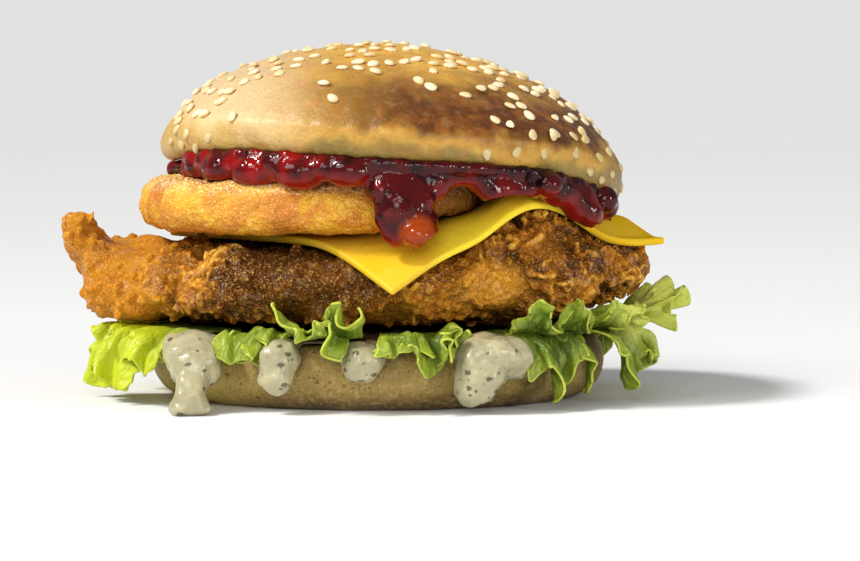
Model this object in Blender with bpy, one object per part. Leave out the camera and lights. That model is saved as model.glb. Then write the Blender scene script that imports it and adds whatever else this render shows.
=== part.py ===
"""A tall chicken burger, standing on the flat base of its lower bun.

The layers run from the base up: bun heel, herb sauce, lettuce, fried chicken, cheese slice,
hash brown, fruit relish and a seeded bun crown. Each is one closed solid, cut or pressed clear
of its neighbours. Sizes are in millimetres, and add_solid turns them into metres. +X runs to
the right, +Y to the back and +Z up, and the origin is the middle of the flat base.
"""

import math
import random

import bmesh
import bpy
from mathutils import Vector, noise

MM = 0.001
GAP = 0.4
SHARP_EDGE = math.radians(50)

HEEL_RADIUS = 57.0
HEEL_HEIGHT = 15.5
BASE_RADIUS = 50.0
HEEL_SEGMENTS = 36

CROWN_RADIUS = 57.6
CROWN_CENTRE_X = 3.4
CROWN_HEIGHT = 27.3
CROWN_WIDEST = 6.8
CROWN_SEAT = 59.9
CROWN_LEAN = 0.0625
CROWN_DROOP_LEFT = 7.4
CROWN_DROOP_RIGHT = 7.0
CROWN_CURL_RIGHT = 5.5
CROWN_SEGMENTS = 32

SAUCE_FLOOR = HEEL_HEIGHT + 1.2 * GAP
SAUCE_TOP = SAUCE_FLOOR + 1.0
SAUCE_RADIUS = 53.0
SAUCE_OUTER = 58.0
LEAF_LEVEL = SAUCE_TOP + 1.0
LEAF_THICKNESS = 1.0
LEAF_STEPS = 5.4
LEAF_LOWEST = 1.2
LEAF_SLOPE = 2.5
LEAF_GATHER = 0.28
LEAF_SWELL = 0.5
LEAF_ROWS = (0.0, 0.3, 0.59, 0.72, 0.86, 1.0)

CHICKEN_FLOOR = LEAF_LEVEL + 1.05
CHICKEN_SEGMENTS = 110
CHICKEN_RINGS = 36
CHICKEN_FACES = 1090
LUMP_SIZE = 17.0
LUMP_HEIGHT = 2.6
CLUMP_SIZE = 11.0
CLUMP_HEIGHT = 9.2
FREE_EDGE = 4.0
FREE_SLOPE = 2.5

CHEESE_SIDE = 88.0
CHEESE_THICKNESS = 2.6
CHEESE_STEPS = 13
CHEESE_CENTRE = (9.5, -1.0)
CHEESE_TURN = math.radians(40)
CHEESE_LEVEL = 40.0

HASH_CENTRE = (-15.6, -5.0)
HASH_LENGTH = 86.0
HASH_WIDTH = 90.0
HASH_THICKNESS = 12.8
HASH_ROUNDNESS = 2.6
HASH_SEGMENTS = 44
HASH_FLOOR = CHEESE_LEVEL + CHEESE_THICKNESS / 2 + GAP
HASH_TOP = HASH_FLOOR + HASH_THICKNESS

RELISH_RADIUS = 55.6
RELISH_SEGMENTS = 56
BLOB_VOXEL = 0.8
BALL_FACES = 21
CLEARANCE_FACES = 280

SEED_COUNT = 74
SEED_SIZE = (3.6, 2.4, 1.9)
SEED_SPACING = 4.3
SEED_PROUD = 0.4


def clear_scene():
    for obj in list(bpy.data.objects):
        bpy.data.objects.remove(obj)


def material(name, colour, roughness):
    """A plain finish of one colour."""
    made = bpy.data.materials.new(name)
    made.use_nodes = True
    shader = made.node_tree.nodes["Principled BSDF"]
    shader.inputs["Base Color"].default_value = (*colour, 1.0)
    shader.inputs["Roughness"].default_value = roughness
    shader.inputs["Metallic"].default_value = 0.0
    return made


def smooth_value(points, x):
    """The value at x of a smooth curve through (x, value) pairs, held level past its ends."""
    if x <= points[0][0]:
        return points[0][1]
    if x >= points[-1][0]:
        return points[-1][1]
    k = next(i for i in range(1, len(points)) if x <= points[i][0])
    (x0, a), (x1, b) = points[k - 1], points[k]
    before = points[max(k - 2, 0)]
    after = points[min(k + 1, len(points) - 1)]
    slope_a = (b - before[1]) / (x1 - before[0])
    slope_b = (after[1] - a) / (after[0] - x0)
    width = x1 - x0
    t = (x - x0) / width
    return (
        a * (1 + 2 * t) * (1 - t) ** 2
        + b * t * t * (3 - 2 * t)
        + width * (slope_a * t * (1 - t) ** 2 - slope_b * t * t * (1 - t))
    )


def soft_ramp(distance, width):
    """Nothing below 0, rising one for one above it, with a rounded start."""
    return width * math.log1p(math.exp(min(distance / width, 60.0)))


def bell(x, middle, width):
    return math.exp(-(((x - middle) / width) ** 2))


def ripple(x, y, z, scale, seed):
    """Smooth uneven noise of about -1 to 1, with lumps about scale millimetres across."""
    return noise.noise(Vector((x / scale + seed, y / scale, z / scale)))


def add_solid(name, mesh, finish):
    """The bmesh as a named object in metres, shaded smooth except at its sharp edges."""
    bmesh.ops.recalc_face_normals(mesh, faces=mesh.faces)
    if mesh.calc_volume(signed=True) < 0:
        bmesh.ops.reverse_faces(mesh, faces=mesh.faces)
    bmesh.ops.scale(mesh, vec=(MM, MM, MM), verts=mesh.verts)
    data = bpy.data.meshes.new(name)
    mesh.to_mesh(data)
    mesh.free()
    data.shade_smooth()
    data.set_sharp_from_angle(angle=SHARP_EDGE)
    data.materials.append(finish)
    obj = bpy.data.objects.new(name, data)
    bpy.context.scene.collection.objects.link(obj)
    return obj


def turned(profile, segments, shape):
    """A closed skin round +Z. profile is (radius, height) pairs from the lower pole to the upper,
    and shape turns (angle, radius, height) into a point. A first radius above 0 makes a flat base."""
    mesh = bmesh.new()
    rings = []
    for radius, height in profile:
        count = segments if radius > 0 else 1
        angles = [2 * math.pi * (i + 0.3) / segments for i in range(count)]
        rings.append([mesh.verts.new(shape(a, radius, height)) for a in angles])
    if len(rings[0]) > 1:
        mesh.faces.new(rings[0])
    for low, high in zip(rings, rings[1:]):
        for i in range(segments):
            j = (i + 1) % segments
            corners = [low[i % len(low)], low[j % len(low)], high[j % len(high)], high[i % len(high)]]
            mesh.faces.new(list(dict.fromkeys(corners)))
    return mesh


def sheet(points, thickness):
    """A closed sheet round a grid of middle points, both faces split into triangles alike."""
    rows, columns = len(points), len(points[0])
    mesh = bmesh.new()
    sides = ([], [])
    for i in range(rows):
        for j in range(columns):
            along = points[min(i + 1, rows - 1)][j] - points[max(i - 1, 0)][j]
            across = points[i][min(j + 1, columns - 1)] - points[i][max(j - 1, 0)]
            normal = along.cross(across).normalized()
            edge = 0.75 if i in (0, rows - 1) or j in (0, columns - 1) else 1.0
            for side, way in zip(sides, (0.5, -0.5)):
                side.append(mesh.verts.new(points[i][j] + normal * way * thickness * edge))
    for i in range(rows - 1):
        for j in range(columns - 1):
            a, b = i * columns + j, (i + 1) * columns + j
            for side, turn in zip(sides, (1, -1)):
                for corners in ((a, b, b + 1), (a, b + 1, a + 1)):
                    mesh.faces.new([side[k] for k in corners[::turn]])
    border = [j for j in range(columns)]
    border += [i * columns + columns - 1 for i in range(1, rows)]
    border += [(rows - 1) * columns + j for j in range(columns - 2, -1, -1)]
    border += [i * columns for i in range(rows - 2, 0, -1)]
    for k, start in enumerate(border):
        end = border[(k + 1) % len(border)]
        mesh.faces.new((sides[0][start], sides[0][end], sides[1][end], sides[1][start]))
    return mesh


def boolean(obj, other, operation, solver="EXACT"):
    """obj joined with or cut by other, which is then removed."""
    step = obj.modifiers.new(operation.lower(), "BOOLEAN")
    step.operation = operation
    step.solver = solver
    if isinstance(other, bpy.types.Collection):
        step.operand_type = "COLLECTION"
        step.collection = other
    else:
        step.object = other
    apply_modifiers(obj)
    helpers = list(other.objects) if isinstance(other, bpy.types.Collection) else [other]
    for helper in helpers:
        bpy.data.objects.remove(helper)


def apply_modifiers(obj):
    """Keeps the evaluated mesh as the object's own."""
    graph = bpy.context.evaluated_depsgraph_get()
    data = bpy.data.meshes.new_from_object(obj.evaluated_get(graph))
    obj.modifiers.clear()
    obj.data = data
    data.shade_smooth()
    data.set_sharp_from_angle(angle=SHARP_EDGE)


def thinned(obj, ratio):
    """Merges the small faces that the cuts left, down to a share of their number."""
    thin = obj.modifiers.new("thin", "DECIMATE")
    thin.ratio = ratio
    apply_modifiers(obj)


def keep_largest_body(obj):
    """Drops the loose scraps that a cut can leave."""
    mesh = bmesh.new()
    mesh.from_mesh(obj.data)
    left, bodies = set(mesh.verts), []
    while left:
        edge = [left.pop()]
        body = set(edge)
        while edge:
            for link in edge.pop().link_edges:
                for vert in link.verts:
                    if vert in left:
                        left.discard(vert)
                        body.add(vert)
                        edge.append(vert)
        bodies.append(body)
    bodies.sort(key=len)
    scraps = [vert for body in bodies[:-1] for vert in body]
    bmesh.ops.delete(mesh, geom=scraps, context="VERTS")
    mesh.to_mesh(obj.data)
    mesh.free()


def heel_side(height):
    """The heel's radius at a height above the table."""
    rise = [(0, BASE_RADIUS), (2, 54.0), (5, 56.4), (9, HEEL_RADIUS), (13, 56.0), (15.5, 53.6)]
    return smooth_value(rise, height)


def add_heel(name, grow=0.0):
    """The lower bun: a flat base, a rounded side and a level cut face."""
    levels = (0.0, 1.0, 3.0, 6.0, 9.5, 13.0, 14.8, HEEL_HEIGHT)
    profile = [(heel_side(z) + grow, z) for z in levels]
    profile[0] = (profile[0][0], -grow)
    profile[-1] = (profile[-1][0] - 0.4, HEEL_HEIGHT + grow)
    profile += [(28.0, HEEL_HEIGHT + grow), (0.0, HEEL_HEIGHT + grow)]

    def shape(angle, radius, height):
        uneven = 0.5 * ripple(math.cos(angle), math.sin(angle), height / 40, 0.7, 3)
        side = uneven if height > 0 else 0.0
        reach = radius + side if radius > BASE_RADIUS - 1 else radius
        return Vector((reach * math.cos(angle), reach * math.sin(angle), height))

    finish = material("baked_crumb", (0.50, 0.38, 0.20), 0.85)
    return add_solid(name, turned(profile, HEEL_SEGMENTS, shape), finish)


def crown_seat(x, height=0.0):
    """Level of the crown, which droops at both sides over the filling, its underside the most."""
    away = abs(x - CROWN_CENTRE_X) / CROWN_RADIUS
    underside = 1.0 - min(height / CROWN_WIDEST, 1.0)
    droop = CROWN_DROOP_LEFT
    if x > CROWN_CENTRE_X:
        droop = CROWN_DROOP_RIGHT + CROWN_CURL_RIGHT * underside
    return CROWN_SEAT - CROWN_LEAN * x - droop * min(away, 1.05) ** 6


def crown_profile():
    """(radius, height) pairs of the crown, from the middle of its underside to its top."""
    pairs = [(0.0, 0.0), (28.0, 0.0), (CROWN_RADIUS - 3.4, 0.0), (CROWN_RADIUS - 1.2, 0.9)]
    pairs += [(CROWN_RADIUS - 0.2, 3.2), (CROWN_RADIUS, CROWN_WIDEST)]
    for step in (0.985, 0.95, 0.89, 0.80, 0.69, 0.56, 0.42, 0.27, 0.13, 0.0):
        dome = (1 - step**1.75) ** 0.72
        pairs.append((CROWN_RADIUS * step, CROWN_WIDEST + (CROWN_HEIGHT - CROWN_WIDEST) * dome))
    return pairs


def crown_point(angle, radius, height):
    """A point of the crown's skin, with its soft dents and the droop of its sides."""
    x = CROWN_CENTRE_X + radius * math.cos(angle)
    y = radius * math.sin(angle)
    dent = 0.0 if height <= 0.5 else 0.8 * ripple(x, y, height, 22.0, 11)
    return Vector((x, y, crown_seat(x, height) + height + dent))


def lowered_crown():
    """The crown's skin one gap lower, which clears what lies under it."""
    mesh = turned(crown_profile(), CROWN_SEGMENTS, crown_point)
    bmesh.ops.translate(mesh, vec=(0.0, 0.0, -1.9 * GAP), verts=mesh.verts)
    return mesh


def crown_height(radius):
    """Height of the dome above the underside at a radius."""
    dome = (1 - min(radius / CROWN_RADIUS, 1.0) ** 1.75) ** 0.72
    return CROWN_WIDEST + (CROWN_HEIGHT - CROWN_WIDEST) * dome


def seed_places():
    """Where the seeds lie, as (angle, radius), close together on the top and the right side."""
    draw = random.Random(7)
    places, points = [], []
    while len(places) < SEED_COUNT:
        angle = draw.uniform(0, 2 * math.pi)
        radius = CROWN_RADIUS * 0.97 * math.sqrt(draw.random())
        share = 0.45 + 0.55 * math.cos(angle - 0.2)
        if radius > 0.62 * CROWN_RADIUS and draw.random() > 0.25 + 0.6 * share:
            continue
        point = crown_point(angle, radius, crown_height(radius))
        if all((point - other).length > SEED_SPACING for other in points):
            places.append((angle, radius))
            points.append(point)
    return places


def add_seed(angle, radius, turn, collection, finish):
    """One sesame seed, a flattened teardrop half sunk in the crust."""
    middle = crown_point(angle, radius, crown_height(radius))
    step = 0.8
    out = crown_point(angle, radius + step, crown_height(radius + step)) - middle
    round_way = Vector((-math.sin(angle), math.cos(angle), 0.0))
    normal = out.cross(round_way).normalized()
    if normal.z < 0:
        normal.negate()
    along = out.normalized() * math.cos(turn) + round_way * math.sin(turn)
    along = (along - normal * along.dot(normal)).normalized()
    across = normal.cross(along)
    mesh = bmesh.new()
    bmesh.ops.create_uvsphere(mesh, u_segments=5, v_segments=3, radius=0.5)
    for vert in mesh.verts:
        taper = 1.0 - 0.45 * vert.co.x
        vert.co = (
            middle
            + normal * SEED_PROUD
            + along * vert.co.x * SEED_SIZE[0]
            + across * vert.co.y * SEED_SIZE[1] * taper
            + normal * vert.co.z * SEED_SIZE[2]
        )
    obj = add_solid("seed", mesh, finish)
    bpy.context.scene.collection.objects.unlink(obj)
    collection.objects.link(obj)


def add_crown():
    """The upper bun, with its sesame seeds fused on."""
    crust = material("golden_crust", (0.56, 0.30, 0.09), 0.45)
    crown = add_solid("bun_crown", turned(crown_profile(), CROWN_SEGMENTS, crown_point), crust)
    seeds = bpy.data.collections.new("seeds")
    bpy.context.scene.collection.children.link(seeds)
    turns = random.Random(19)
    for angle, radius in seed_places():
        add_seed(angle, radius, turns.uniform(0, math.pi), seeds, crust)
    boolean(crown, seeds, "UNION")
    bpy.data.collections.remove(seeds)
    return crown


def lift(x):
    """How far the chicken pushes up what lies on it, towards the right."""
    return smooth_value([(4, 0.0), (10, 1.5), (16, 3.4), (21, 4.4)], x)


def cheese_middle(x, y):
    """Height of the middle of the cheese slice, also past its edges."""
    crest = [(16, 0.0), (23.5, 0.0), (28, 1.7), (33, 4.4), (39, 5.0), (45, 3.0), (50, -0.6)]
    crest += [(56, -4.4), (62, -5.4), (72, -5.2)]
    front = 0.58 * soft_ramp(-y - 43.5, 3.0)
    back = 0.6 * soft_ramp(y - 46.0, 3.0)
    inside = max(0.0, across_cheese(x, y)[1] + CHEESE_SIDE / 2)
    edge = 3.2 * max(0.0, 1 - inside / 12.0) ** 2 * bell(x, 27.0, 11.0)
    return CHEESE_LEVEL + lift(x) + smooth_value(crest, x) - front - back - edge


def across_cheese(x, y):
    """A plan point along and across the slice from its middle."""
    cos, sin = math.cos(CHEESE_TURN), math.sin(CHEESE_TURN)
    dx, dy = x - CHEESE_CENTRE[0], y - CHEESE_CENTRE[1]
    return dx * cos + dy * sin, dy * cos - dx * sin


def from_cheese(u, v):
    """Row-frame x and y of a place on the slice, u and v from its middle along its sides."""
    cos, sin = math.cos(CHEESE_TURN), math.sin(CHEESE_TURN)
    return CHEESE_CENTRE[0] + u * cos - v * sin, CHEESE_CENTRE[1] + u * sin + v * cos


def past_cheese(x, y):
    """How far a point is outside the slice's square in plan, negative inside it."""
    along, across = across_cheese(x, y)
    return max(abs(along), abs(across)) - CHEESE_SIDE / 2


def add_cheese(name, grow=0.0):
    """The square slice, draped over the chicken."""
    half = CHEESE_SIDE / 2 + grow
    steps = CHEESE_STEPS
    points = []
    for i in range(steps + 1):
        row = []
        for j in range(steps + 1):
            x, y = from_cheese(half * (2 * i / steps - 1), half * (2 * j / steps - 1))
            row.append(Vector((x, y, cheese_middle(x, y))))
        points.append(row)
    finish = material("cheese", (0.75, 0.46, 0.03), 0.35)
    return add_solid(name, sheet(points, CHEESE_THICKNESS + 2 * grow), finish)


def hash_outline(angle):
    """The hash brown's plan radius towards an angle, a rounded oval."""
    power = HASH_ROUNDNESS
    x = abs(math.cos(angle)) / (HASH_LENGTH / 2)
    y = abs(math.sin(angle)) / (HASH_WIDTH / 2)
    return (x**power + y**power) ** (-1 / power)


def past_hash(x, y):
    """How far outside the hash brown's outline a point is, negative inside it."""
    dx, dy = x - HASH_CENTRE[0], y - HASH_CENTRE[1]
    return math.hypot(dx, dy) - hash_outline(math.atan2(dy, dx))


def add_hash(name, grow=0.0):
    """The hash brown, a thick oval patty with rounded, uneven sides."""
    middle = HASH_FLOOR + HASH_THICKNESS / 2
    half = HASH_THICKNESS / 2 + grow
    profile = [(0.0, -half), (0.55, -half), (0.90, -half), (0.965, -0.78 * half)]
    profile += [(1.0, -0.3 * half), (1.0, 0.25 * half), (0.97, 0.75 * half), (0.92, half)]
    profile += [(0.55, half), (0.0, half)]

    def shape(angle, share, height):
        reach = (hash_outline(angle) + grow) * share
        if share > 0.93:
            reach += 0.7 * ripple(40 * math.cos(angle), 40 * math.sin(angle), height, 7.0, 5)
        x = HASH_CENTRE[0] + reach * math.cos(angle)
        y = HASH_CENTRE[1] + reach * math.sin(angle)
        raised = lift(x + 3.0) * (0.55 - 0.45 * height / half)
        return Vector((x, y, middle + height + raised))

    finish = material("potato_crust", (0.66, 0.36, 0.05), 0.6)
    return add_solid(name, turned(profile, HASH_SEGMENTS, shape), finish)


CHICKEN_CENTRE = (-6.0, -1.0)
CHICKEN_OUTLINE = (
    (-180, 73.0),
    (-168, 72.0),
    (-155, 60.0),
    (-140, 58.0),
    (-122, 57.5),
    (-100, 52.0),
    (-80, 51.0),
    (-60, 54.0),
    (-42, 61.0),
    (-25, 69.0),
    (-8, 74.0),
    (10, 72.0),
    (30, 63.0),
    (50, 56.0),
    (75, 51.0),
    (100, 50.0),
    (125, 53.0),
    (145, 57.0),
    (160, 62.0),
    (170, 69.0),
    (180, 73.0),
)
CHICKEN_MIDDLE = (
    (-79, 40.8),
    (-75, 36.7),
    (-72, 32.4),
    (-69, 29.6),
    (-65, 28.4),
    (-58, 27.6),
    (-48, 29.0),
    (15, 29.5),
    (38, 34.0),
    (52, 31.5),
    (68, 33.0),
)
CHICKEN_HALF = (
    (-79, 14.5),
    (-75, 16.0),
    (-72, 14.6),
    (-69, 13.4),
    (-58, 12.6),
    (-48, 11.6),
    (15, 11.8),
    (38, 17.0),
    (52, 12.5),
    (68, 9.0),
)


def chicken_floor(x, y):
    """Lowest level of the chicken over a point, a little lower past the bun's side."""
    return CHICKEN_FLOOR - min(max(0.25 * (math.hypot(x, y) - 59.0), 0.0), 1.8)


def chicken_ceiling(x, y):
    """The underside of what lies on the chicken, over a point, rising steeply past its edge."""
    under_cheese = cheese_middle(x, y) - CHEESE_THICKNESS / 2 - GAP
    under_cheese += FREE_SLOPE * max(0.0, past_cheese(x, y) - FREE_EDGE)
    under_hash = HASH_FLOOR - GAP + lift(x) + FREE_SLOPE * max(0.0, past_hash(x, y) - FREE_EDGE)
    return min(under_cheese, under_hash)


def crags(x, y, z):
    """Outward relief of the fried crust: broad lumps with finer clumps on them."""
    broad = ripple(x, y, z, LUMP_SIZE, 2)
    clump = noise.voronoi(Vector((x, y, z)) / CLUMP_SIZE)[0][0]
    return LUMP_HEIGHT * broad + CLUMP_HEIGHT * (0.42 - clump)


def add_chicken():
    """The fried fillet, with a craggy crust and one end that curls up at the left."""
    profile = [(0.0, -90.0)]
    for k in range(1, CHICKEN_RINGS):
        profile.append((1.0, -90.0 + 180.0 * k / CHICKEN_RINGS))
    profile.append((0.0, 90.0))

    def shape(angle, reach, rise):
        degrees = math.degrees(math.atan2(math.sin(angle), math.cos(angle)))
        outline = smooth_value(CHICKEN_OUTLINE, degrees)
        flat = math.cos(math.radians(rise)) ** 0.55 if reach else 0.0
        x = CHICKEN_CENTRE[0] + outline * flat * math.cos(angle)
        y = CHICKEN_CENTRE[1] + outline * flat * math.sin(angle)
        up = math.sin(math.radians(rise))
        z = smooth_value(CHICKEN_MIDDLE, x)
        z += smooth_value(CHICKEN_HALF, x) * math.copysign(abs(up) ** 0.8, up)
        relief = crags(x, y, z)
        x += relief * 0.9 * math.cos(angle) * flat
        y += relief * 0.9 * math.sin(angle) * flat
        z += relief * 0.5 * up
        z = max(z, chicken_floor(x, y))
        return Vector((x, y, min(z, chicken_ceiling(x, y))))

    finish = material("fried_crust", (0.42, 0.18, 0.04), 0.6)
    chicken = add_solid("chicken", turned(profile, CHICKEN_SEGMENTS, shape), finish)
    melted(chicken, 1, CHICKEN_FACES)
    boolean(chicken, add_cheese("cheese_clearance", GAP), "DIFFERENCE", "MANIFOLD")
    keep_largest_body(chicken)
    thinned(chicken, 0.8)
    return chicken


class Leaf:
    """One lettuce leaf: a fan of the layer that runs out from under the chicken and then frills.

    start and end are plan angles in degrees. path is (radius, height) points along the leaf, tilt
    the rise of its edge from start to end, frill the height of its waves and waves their number."""

    def __init__(self, name, start, end, path, tilt, frill, waves, seed):
        self.name = name
        self.start = math.radians(start)
        self.end = math.radians(end)
        full = [(9.0, LEAF_LEVEL), (28.0, LEAF_LEVEL), (44.0, LEAF_LEVEL)] + path
        self.radii = [(k / (len(full) - 1), point[0]) for k, point in enumerate(full)]
        self.heights = [(k / (len(full) - 1), point[1]) for k, point in enumerate(full)]
        self.tilt = tilt
        self.frill = frill
        self.waves = waves
        self.seed = seed

    def middle(self, share, along):
        """A middle point: share runs from one side of the leaf to the other, along outwards."""
        taper = 0.7 + 0.3 * math.sin(math.pi * min(max(share, 0.0), 1.0)) ** 0.5
        jag = 0.15 * noise.noise(Vector((share * 7.0 * self.waves / 3, self.seed, 0.5)))
        outer = max(0.0, along - LEAF_ROWS[2])
        reach = along + outer * (taper + jag - 1.0)
        radius = smooth_value(self.radii, reach)
        height = smooth_value(self.heights, reach)
        grow = outer / (1.0 - LEAF_ROWS[2])
        turn = 2 * math.pi * self.waves * share + self.seed
        angle = self.start + (self.end - self.start) * share
        angle += LEAF_GATHER * self.frill * grow * math.cos(turn + 0.6) / radius
        radius += LEAF_SWELL * self.frill * grow * (math.sin(turn) + 0.25 * math.sin(1.6 * turn + self.seed))
        height += 0.75 * self.frill * grow * math.sin(turn + 1.0) + self.tilt * grow * (share - 0.5)
        return self.kept_clear(angle, radius, height)

    def kept_clear(self, angle, radius, height):
        """Moves a point out of the bun below and the chicken above."""
        clear = LEAF_THICKNESS / 2 + GAP + 0.5
        free = max(0.0, radius - self.chicken_side(angle, LEAF_LEVEL) - clear)
        height = min(height, LEAF_LEVEL + LEAF_SLOPE * free)
        height = max(height, LEAF_LOWEST, LEAF_LEVEL - 0.2 - LEAF_SLOPE * max(0.0, radius - HEEL_RADIUS))
        if height > LEAF_LEVEL and radius < self.chicken_side(angle, height) + clear:
            height = LEAF_LEVEL
        x, y = radius * math.cos(angle), radius * math.sin(angle)
        if radius < self.chicken_side(angle, LEAF_LEVEL + 5.0) + clear:
            height = min(height, chicken_floor(x, y) - clear + 0.3)
        if radius < HEEL_RADIUS:
            height = max(height, LEAF_LEVEL - 0.2)
        if height < LEAF_LEVEL - 0.3:
            radius = max(radius, heel_side(height) + clear)
        return Vector((radius * math.cos(angle), radius * math.sin(angle), height))

    @staticmethod
    def chicken_side(angle, height):
        """A safe plan radius of the chicken from the burger's middle at a height."""
        x, y = math.cos(angle), math.sin(angle)
        degrees = math.degrees(math.atan2(y, x))
        reach = smooth_value(CHICKEN_OUTLINE, degrees) + CHICKEN_CENTRE[0] * x + CHICKEN_CENTRE[1] * y
        low = max(0.0, min(1.0, (24.0 - height) / 6.0))
        return reach + 3.0 - 5.0 * low

    def solid(self):
        """The leaf's closed sheet."""
        return sheet(self.grid(LEAF_ROWS), LEAF_THICKNESS)

    def clearance(self, grow):
        """A sheet grown all round the part of the leaf that is past the bun's edge."""
        points = self.grid(LEAF_ROWS[2:])
        for row in points:
            row.append(row[-1] + (row[-1] - row[-2]).normalized() * grow)
        ends = []
        for near, next_one in ((points[0], points[1]), (points[-1], points[-2])):
            ends.append([a + (a - b).normalized() * grow for a, b in zip(near, next_one)])
        return sheet([ends[0], *points, ends[1]], LEAF_THICKNESS + 2 * grow)

    def grid(self, rows):
        """Middle points across the leaf, through these places along it."""
        columns = max(8, round(LEAF_STEPS * self.waves))
        return [[self.middle(i / columns, along) for along in rows] for i in range(columns + 1)]


def leaves():
    """The leaves round the burger, from the left over the front to the back."""
    flat = LEAF_LEVEL
    return [
        Leaf("leaf_left", 186, 223, [(57, flat), (68, 14), (71, 5)], -3.0, 4.4, 2.4, 1.0),
        Leaf("leaf_front_left", 235.5, 246.5, [(56, flat), (62, 18), (66, 12.5)], -4.0, 4.2, 1.2, 2.2),
        Leaf("leaf_front", 249.5, 264, [(56, flat), (62, 19.5), (66, 20.5)], -11.0, 4.4, 1.5, 0.4),
        Leaf("leaf_front_right", 271, 288.5, [(56, flat), (62, 17.5), (65.5, 12.5)], -4.0, 4.2, 1.9, 3.1),
        Leaf("leaf_right", 304, 326, [(57, flat), (63.5, 14), (66.5, 5.5)], 2.0, 5.2, 2.0, 5.0),
        Leaf("leaf_far_right", 329, 350, [(58, flat), (66.5, 15.5), (69, 8)], 3.0, 5.4, 1.6, 0.9),
        Leaf("leaf_far_right_high", 353, 373, [(60, flat), (68, 21.5), (76, 25)], 4.0, 4.0, 1.6, 2.6),
        Leaf("leaf_back_right", 21, 78, [(56, flat), (62, 15), (65, 9)], -3.0, 4.6, 3.4, 1.7),
        Leaf("leaf_back_left", 85, 177, [(56, flat), (61, 15.5), (64, 9)], 2.0, 4.6, 4.8, 4.0),
    ]


def add_leaves():
    """Every lettuce leaf as a thin wavy solid."""
    finish = material("lettuce", (0.33, 0.40, 0.03), 0.5)
    for leaf in leaves():
        add_solid(leaf.name, leaf.solid(), finish)


def add_blob(name, balls, finish):
    """Overlapping balls, (x, y, z, radius across, radius up), melted into one smooth drop."""
    mesh = bmesh.new()
    for x, y, z, across, up in balls:
        made = bmesh.ops.create_icosphere(mesh, subdivisions=3, radius=1.0)
        for vert in made["verts"]:
            vert.co = (vert.co.x * across + x, vert.co.y * across + y, vert.co.z * up + z)
    obj = add_solid(name, mesh, finish)
    melted(obj, 4, BALL_FACES * len(balls))
    return obj


def melted(obj, softness, faces):
    """Turns crossing skins into one closed skin, softened, with about this many faces."""
    melt = obj.modifiers.new("melt", "REMESH")
    melt.mode = "VOXEL"
    melt.voxel_size = BLOB_VOXEL * MM
    soften = obj.modifiers.new("soften", "SMOOTH")
    soften.factor = 0.5
    soften.iterations = softness
    apply_modifiers(obj)
    thinned(obj, faces / len(obj.data.polygons))


def sauce_drops():
    """The runs of herb sauce: two that reach far down, two short ones and some at the back."""
    left = [(-41.0, -40.0, 16.2, 7.5, 2.4), (-43.5, -46.5, 14.5, 7.8, 4.6)]
    left += [(-43.0, -51.5, 10.6, 6.4, 5.6), (-43.6, -56.5, 6.4, 4.0, 4.4)]
    left += [(-43.6, -60.5, 1.9, 5.2, 2.4), (-43.6, -59.0, 3.6, 3.9, 2.4)]
    middle_left = [(-22.5, -50.0, 16.2, 6.0, 2.2), (-23.0, -57.0, 13.5, 5.6, 4.4)]
    middle_left += [(-23.0, -59.0, 9.0, 4.4, 4.4)]
    middle = [(-3.0, -53.0, 16.2, 6.2, 2.0), (-3.0, -58.5, 13.4, 5.6, 3.4)]
    middle += [(-3.0, -59.5, 11.0, 4.6, 3.6)]
    right = [(27.0, -46.0, 16.2, 9.5, 2.4), (27.5, -52.5, 14.0, 9.5, 4.8)]
    right += [(33.0, -49.5, 12.5, 6.0, 4.8), (25.0, -56.5, 9.6, 6.2, 5.0)]
    right += [(23.6, -57.5, 5.0, 4.6, 3.6)]
    back = [(8.0, 51.0, 16.2, 8.0, 2.0), (8.0, 57.5, 13.0, 6.0, 5.0), (8.0, 59.2, 7.5, 4.2, 4.6)]
    return {"left": left, "middle_left": middle_left, "middle": middle, "right": right, "back": back}


def add_sauce():
    """The herb sauce: a thin layer on the heel, with its runs down the side."""
    finish = material("herb_sauce", (0.62, 0.57, 0.42), 0.35)
    profile = [(0.0, SAUCE_FLOOR), (26.0, SAUCE_FLOOR), (SAUCE_RADIUS, SAUCE_FLOOR)]
    profile += [(SAUCE_RADIUS + 0.6, (SAUCE_FLOOR + SAUCE_TOP) / 2), (SAUCE_RADIUS, SAUCE_TOP)]
    profile += [(26.0, SAUCE_TOP), (0.0, SAUCE_TOP)]

    def shape(angle, radius, height):
        return Vector((radius * math.cos(angle), radius * math.sin(angle), height))

    sauce = add_solid("herb_sauce", turned(profile, HEEL_SEGMENTS, shape), finish)
    for name, balls in sauce_drops().items():
        boolean(sauce, add_blob("run_" + name, balls, finish), "UNION")
    thinned(sauce, 0.55)
    boolean(sauce, add_heel("heel_clearance", GAP), "DIFFERENCE", "MANIFOLD")
    above = [(0.0, SAUCE_TOP), (30.0, SAUCE_TOP), (SAUCE_OUTER, SAUCE_TOP)]
    above += [(SAUCE_OUTER, 30.0), (0.0, 30.0)]
    layers = add_solid("layer_clearance", turned(above, HEEL_SEGMENTS, shape), finish)
    boolean(sauce, layers, "DIFFERENCE", "MANIFOLD")
    for leaf in leaves():
        clearance = add_solid("leaf_clearance", leaf.clearance(2.3 * GAP), finish)
        melted(clearance, 1, CLEARANCE_FACES)
        boolean(sauce, clearance, "DIFFERENCE", "MANIFOLD")
    trim_box(sauce, "chicken_clearance", (-90, -90, CHICKEN_FLOOR - GAP), (90, 90, 60))
    trim_box(sauce, "table_clearance", (-90, -90, -20), (90, 90, 0.0))
    keep_largest_body(sauce)
    thinned(sauce, 0.75)
    return sauce


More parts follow.
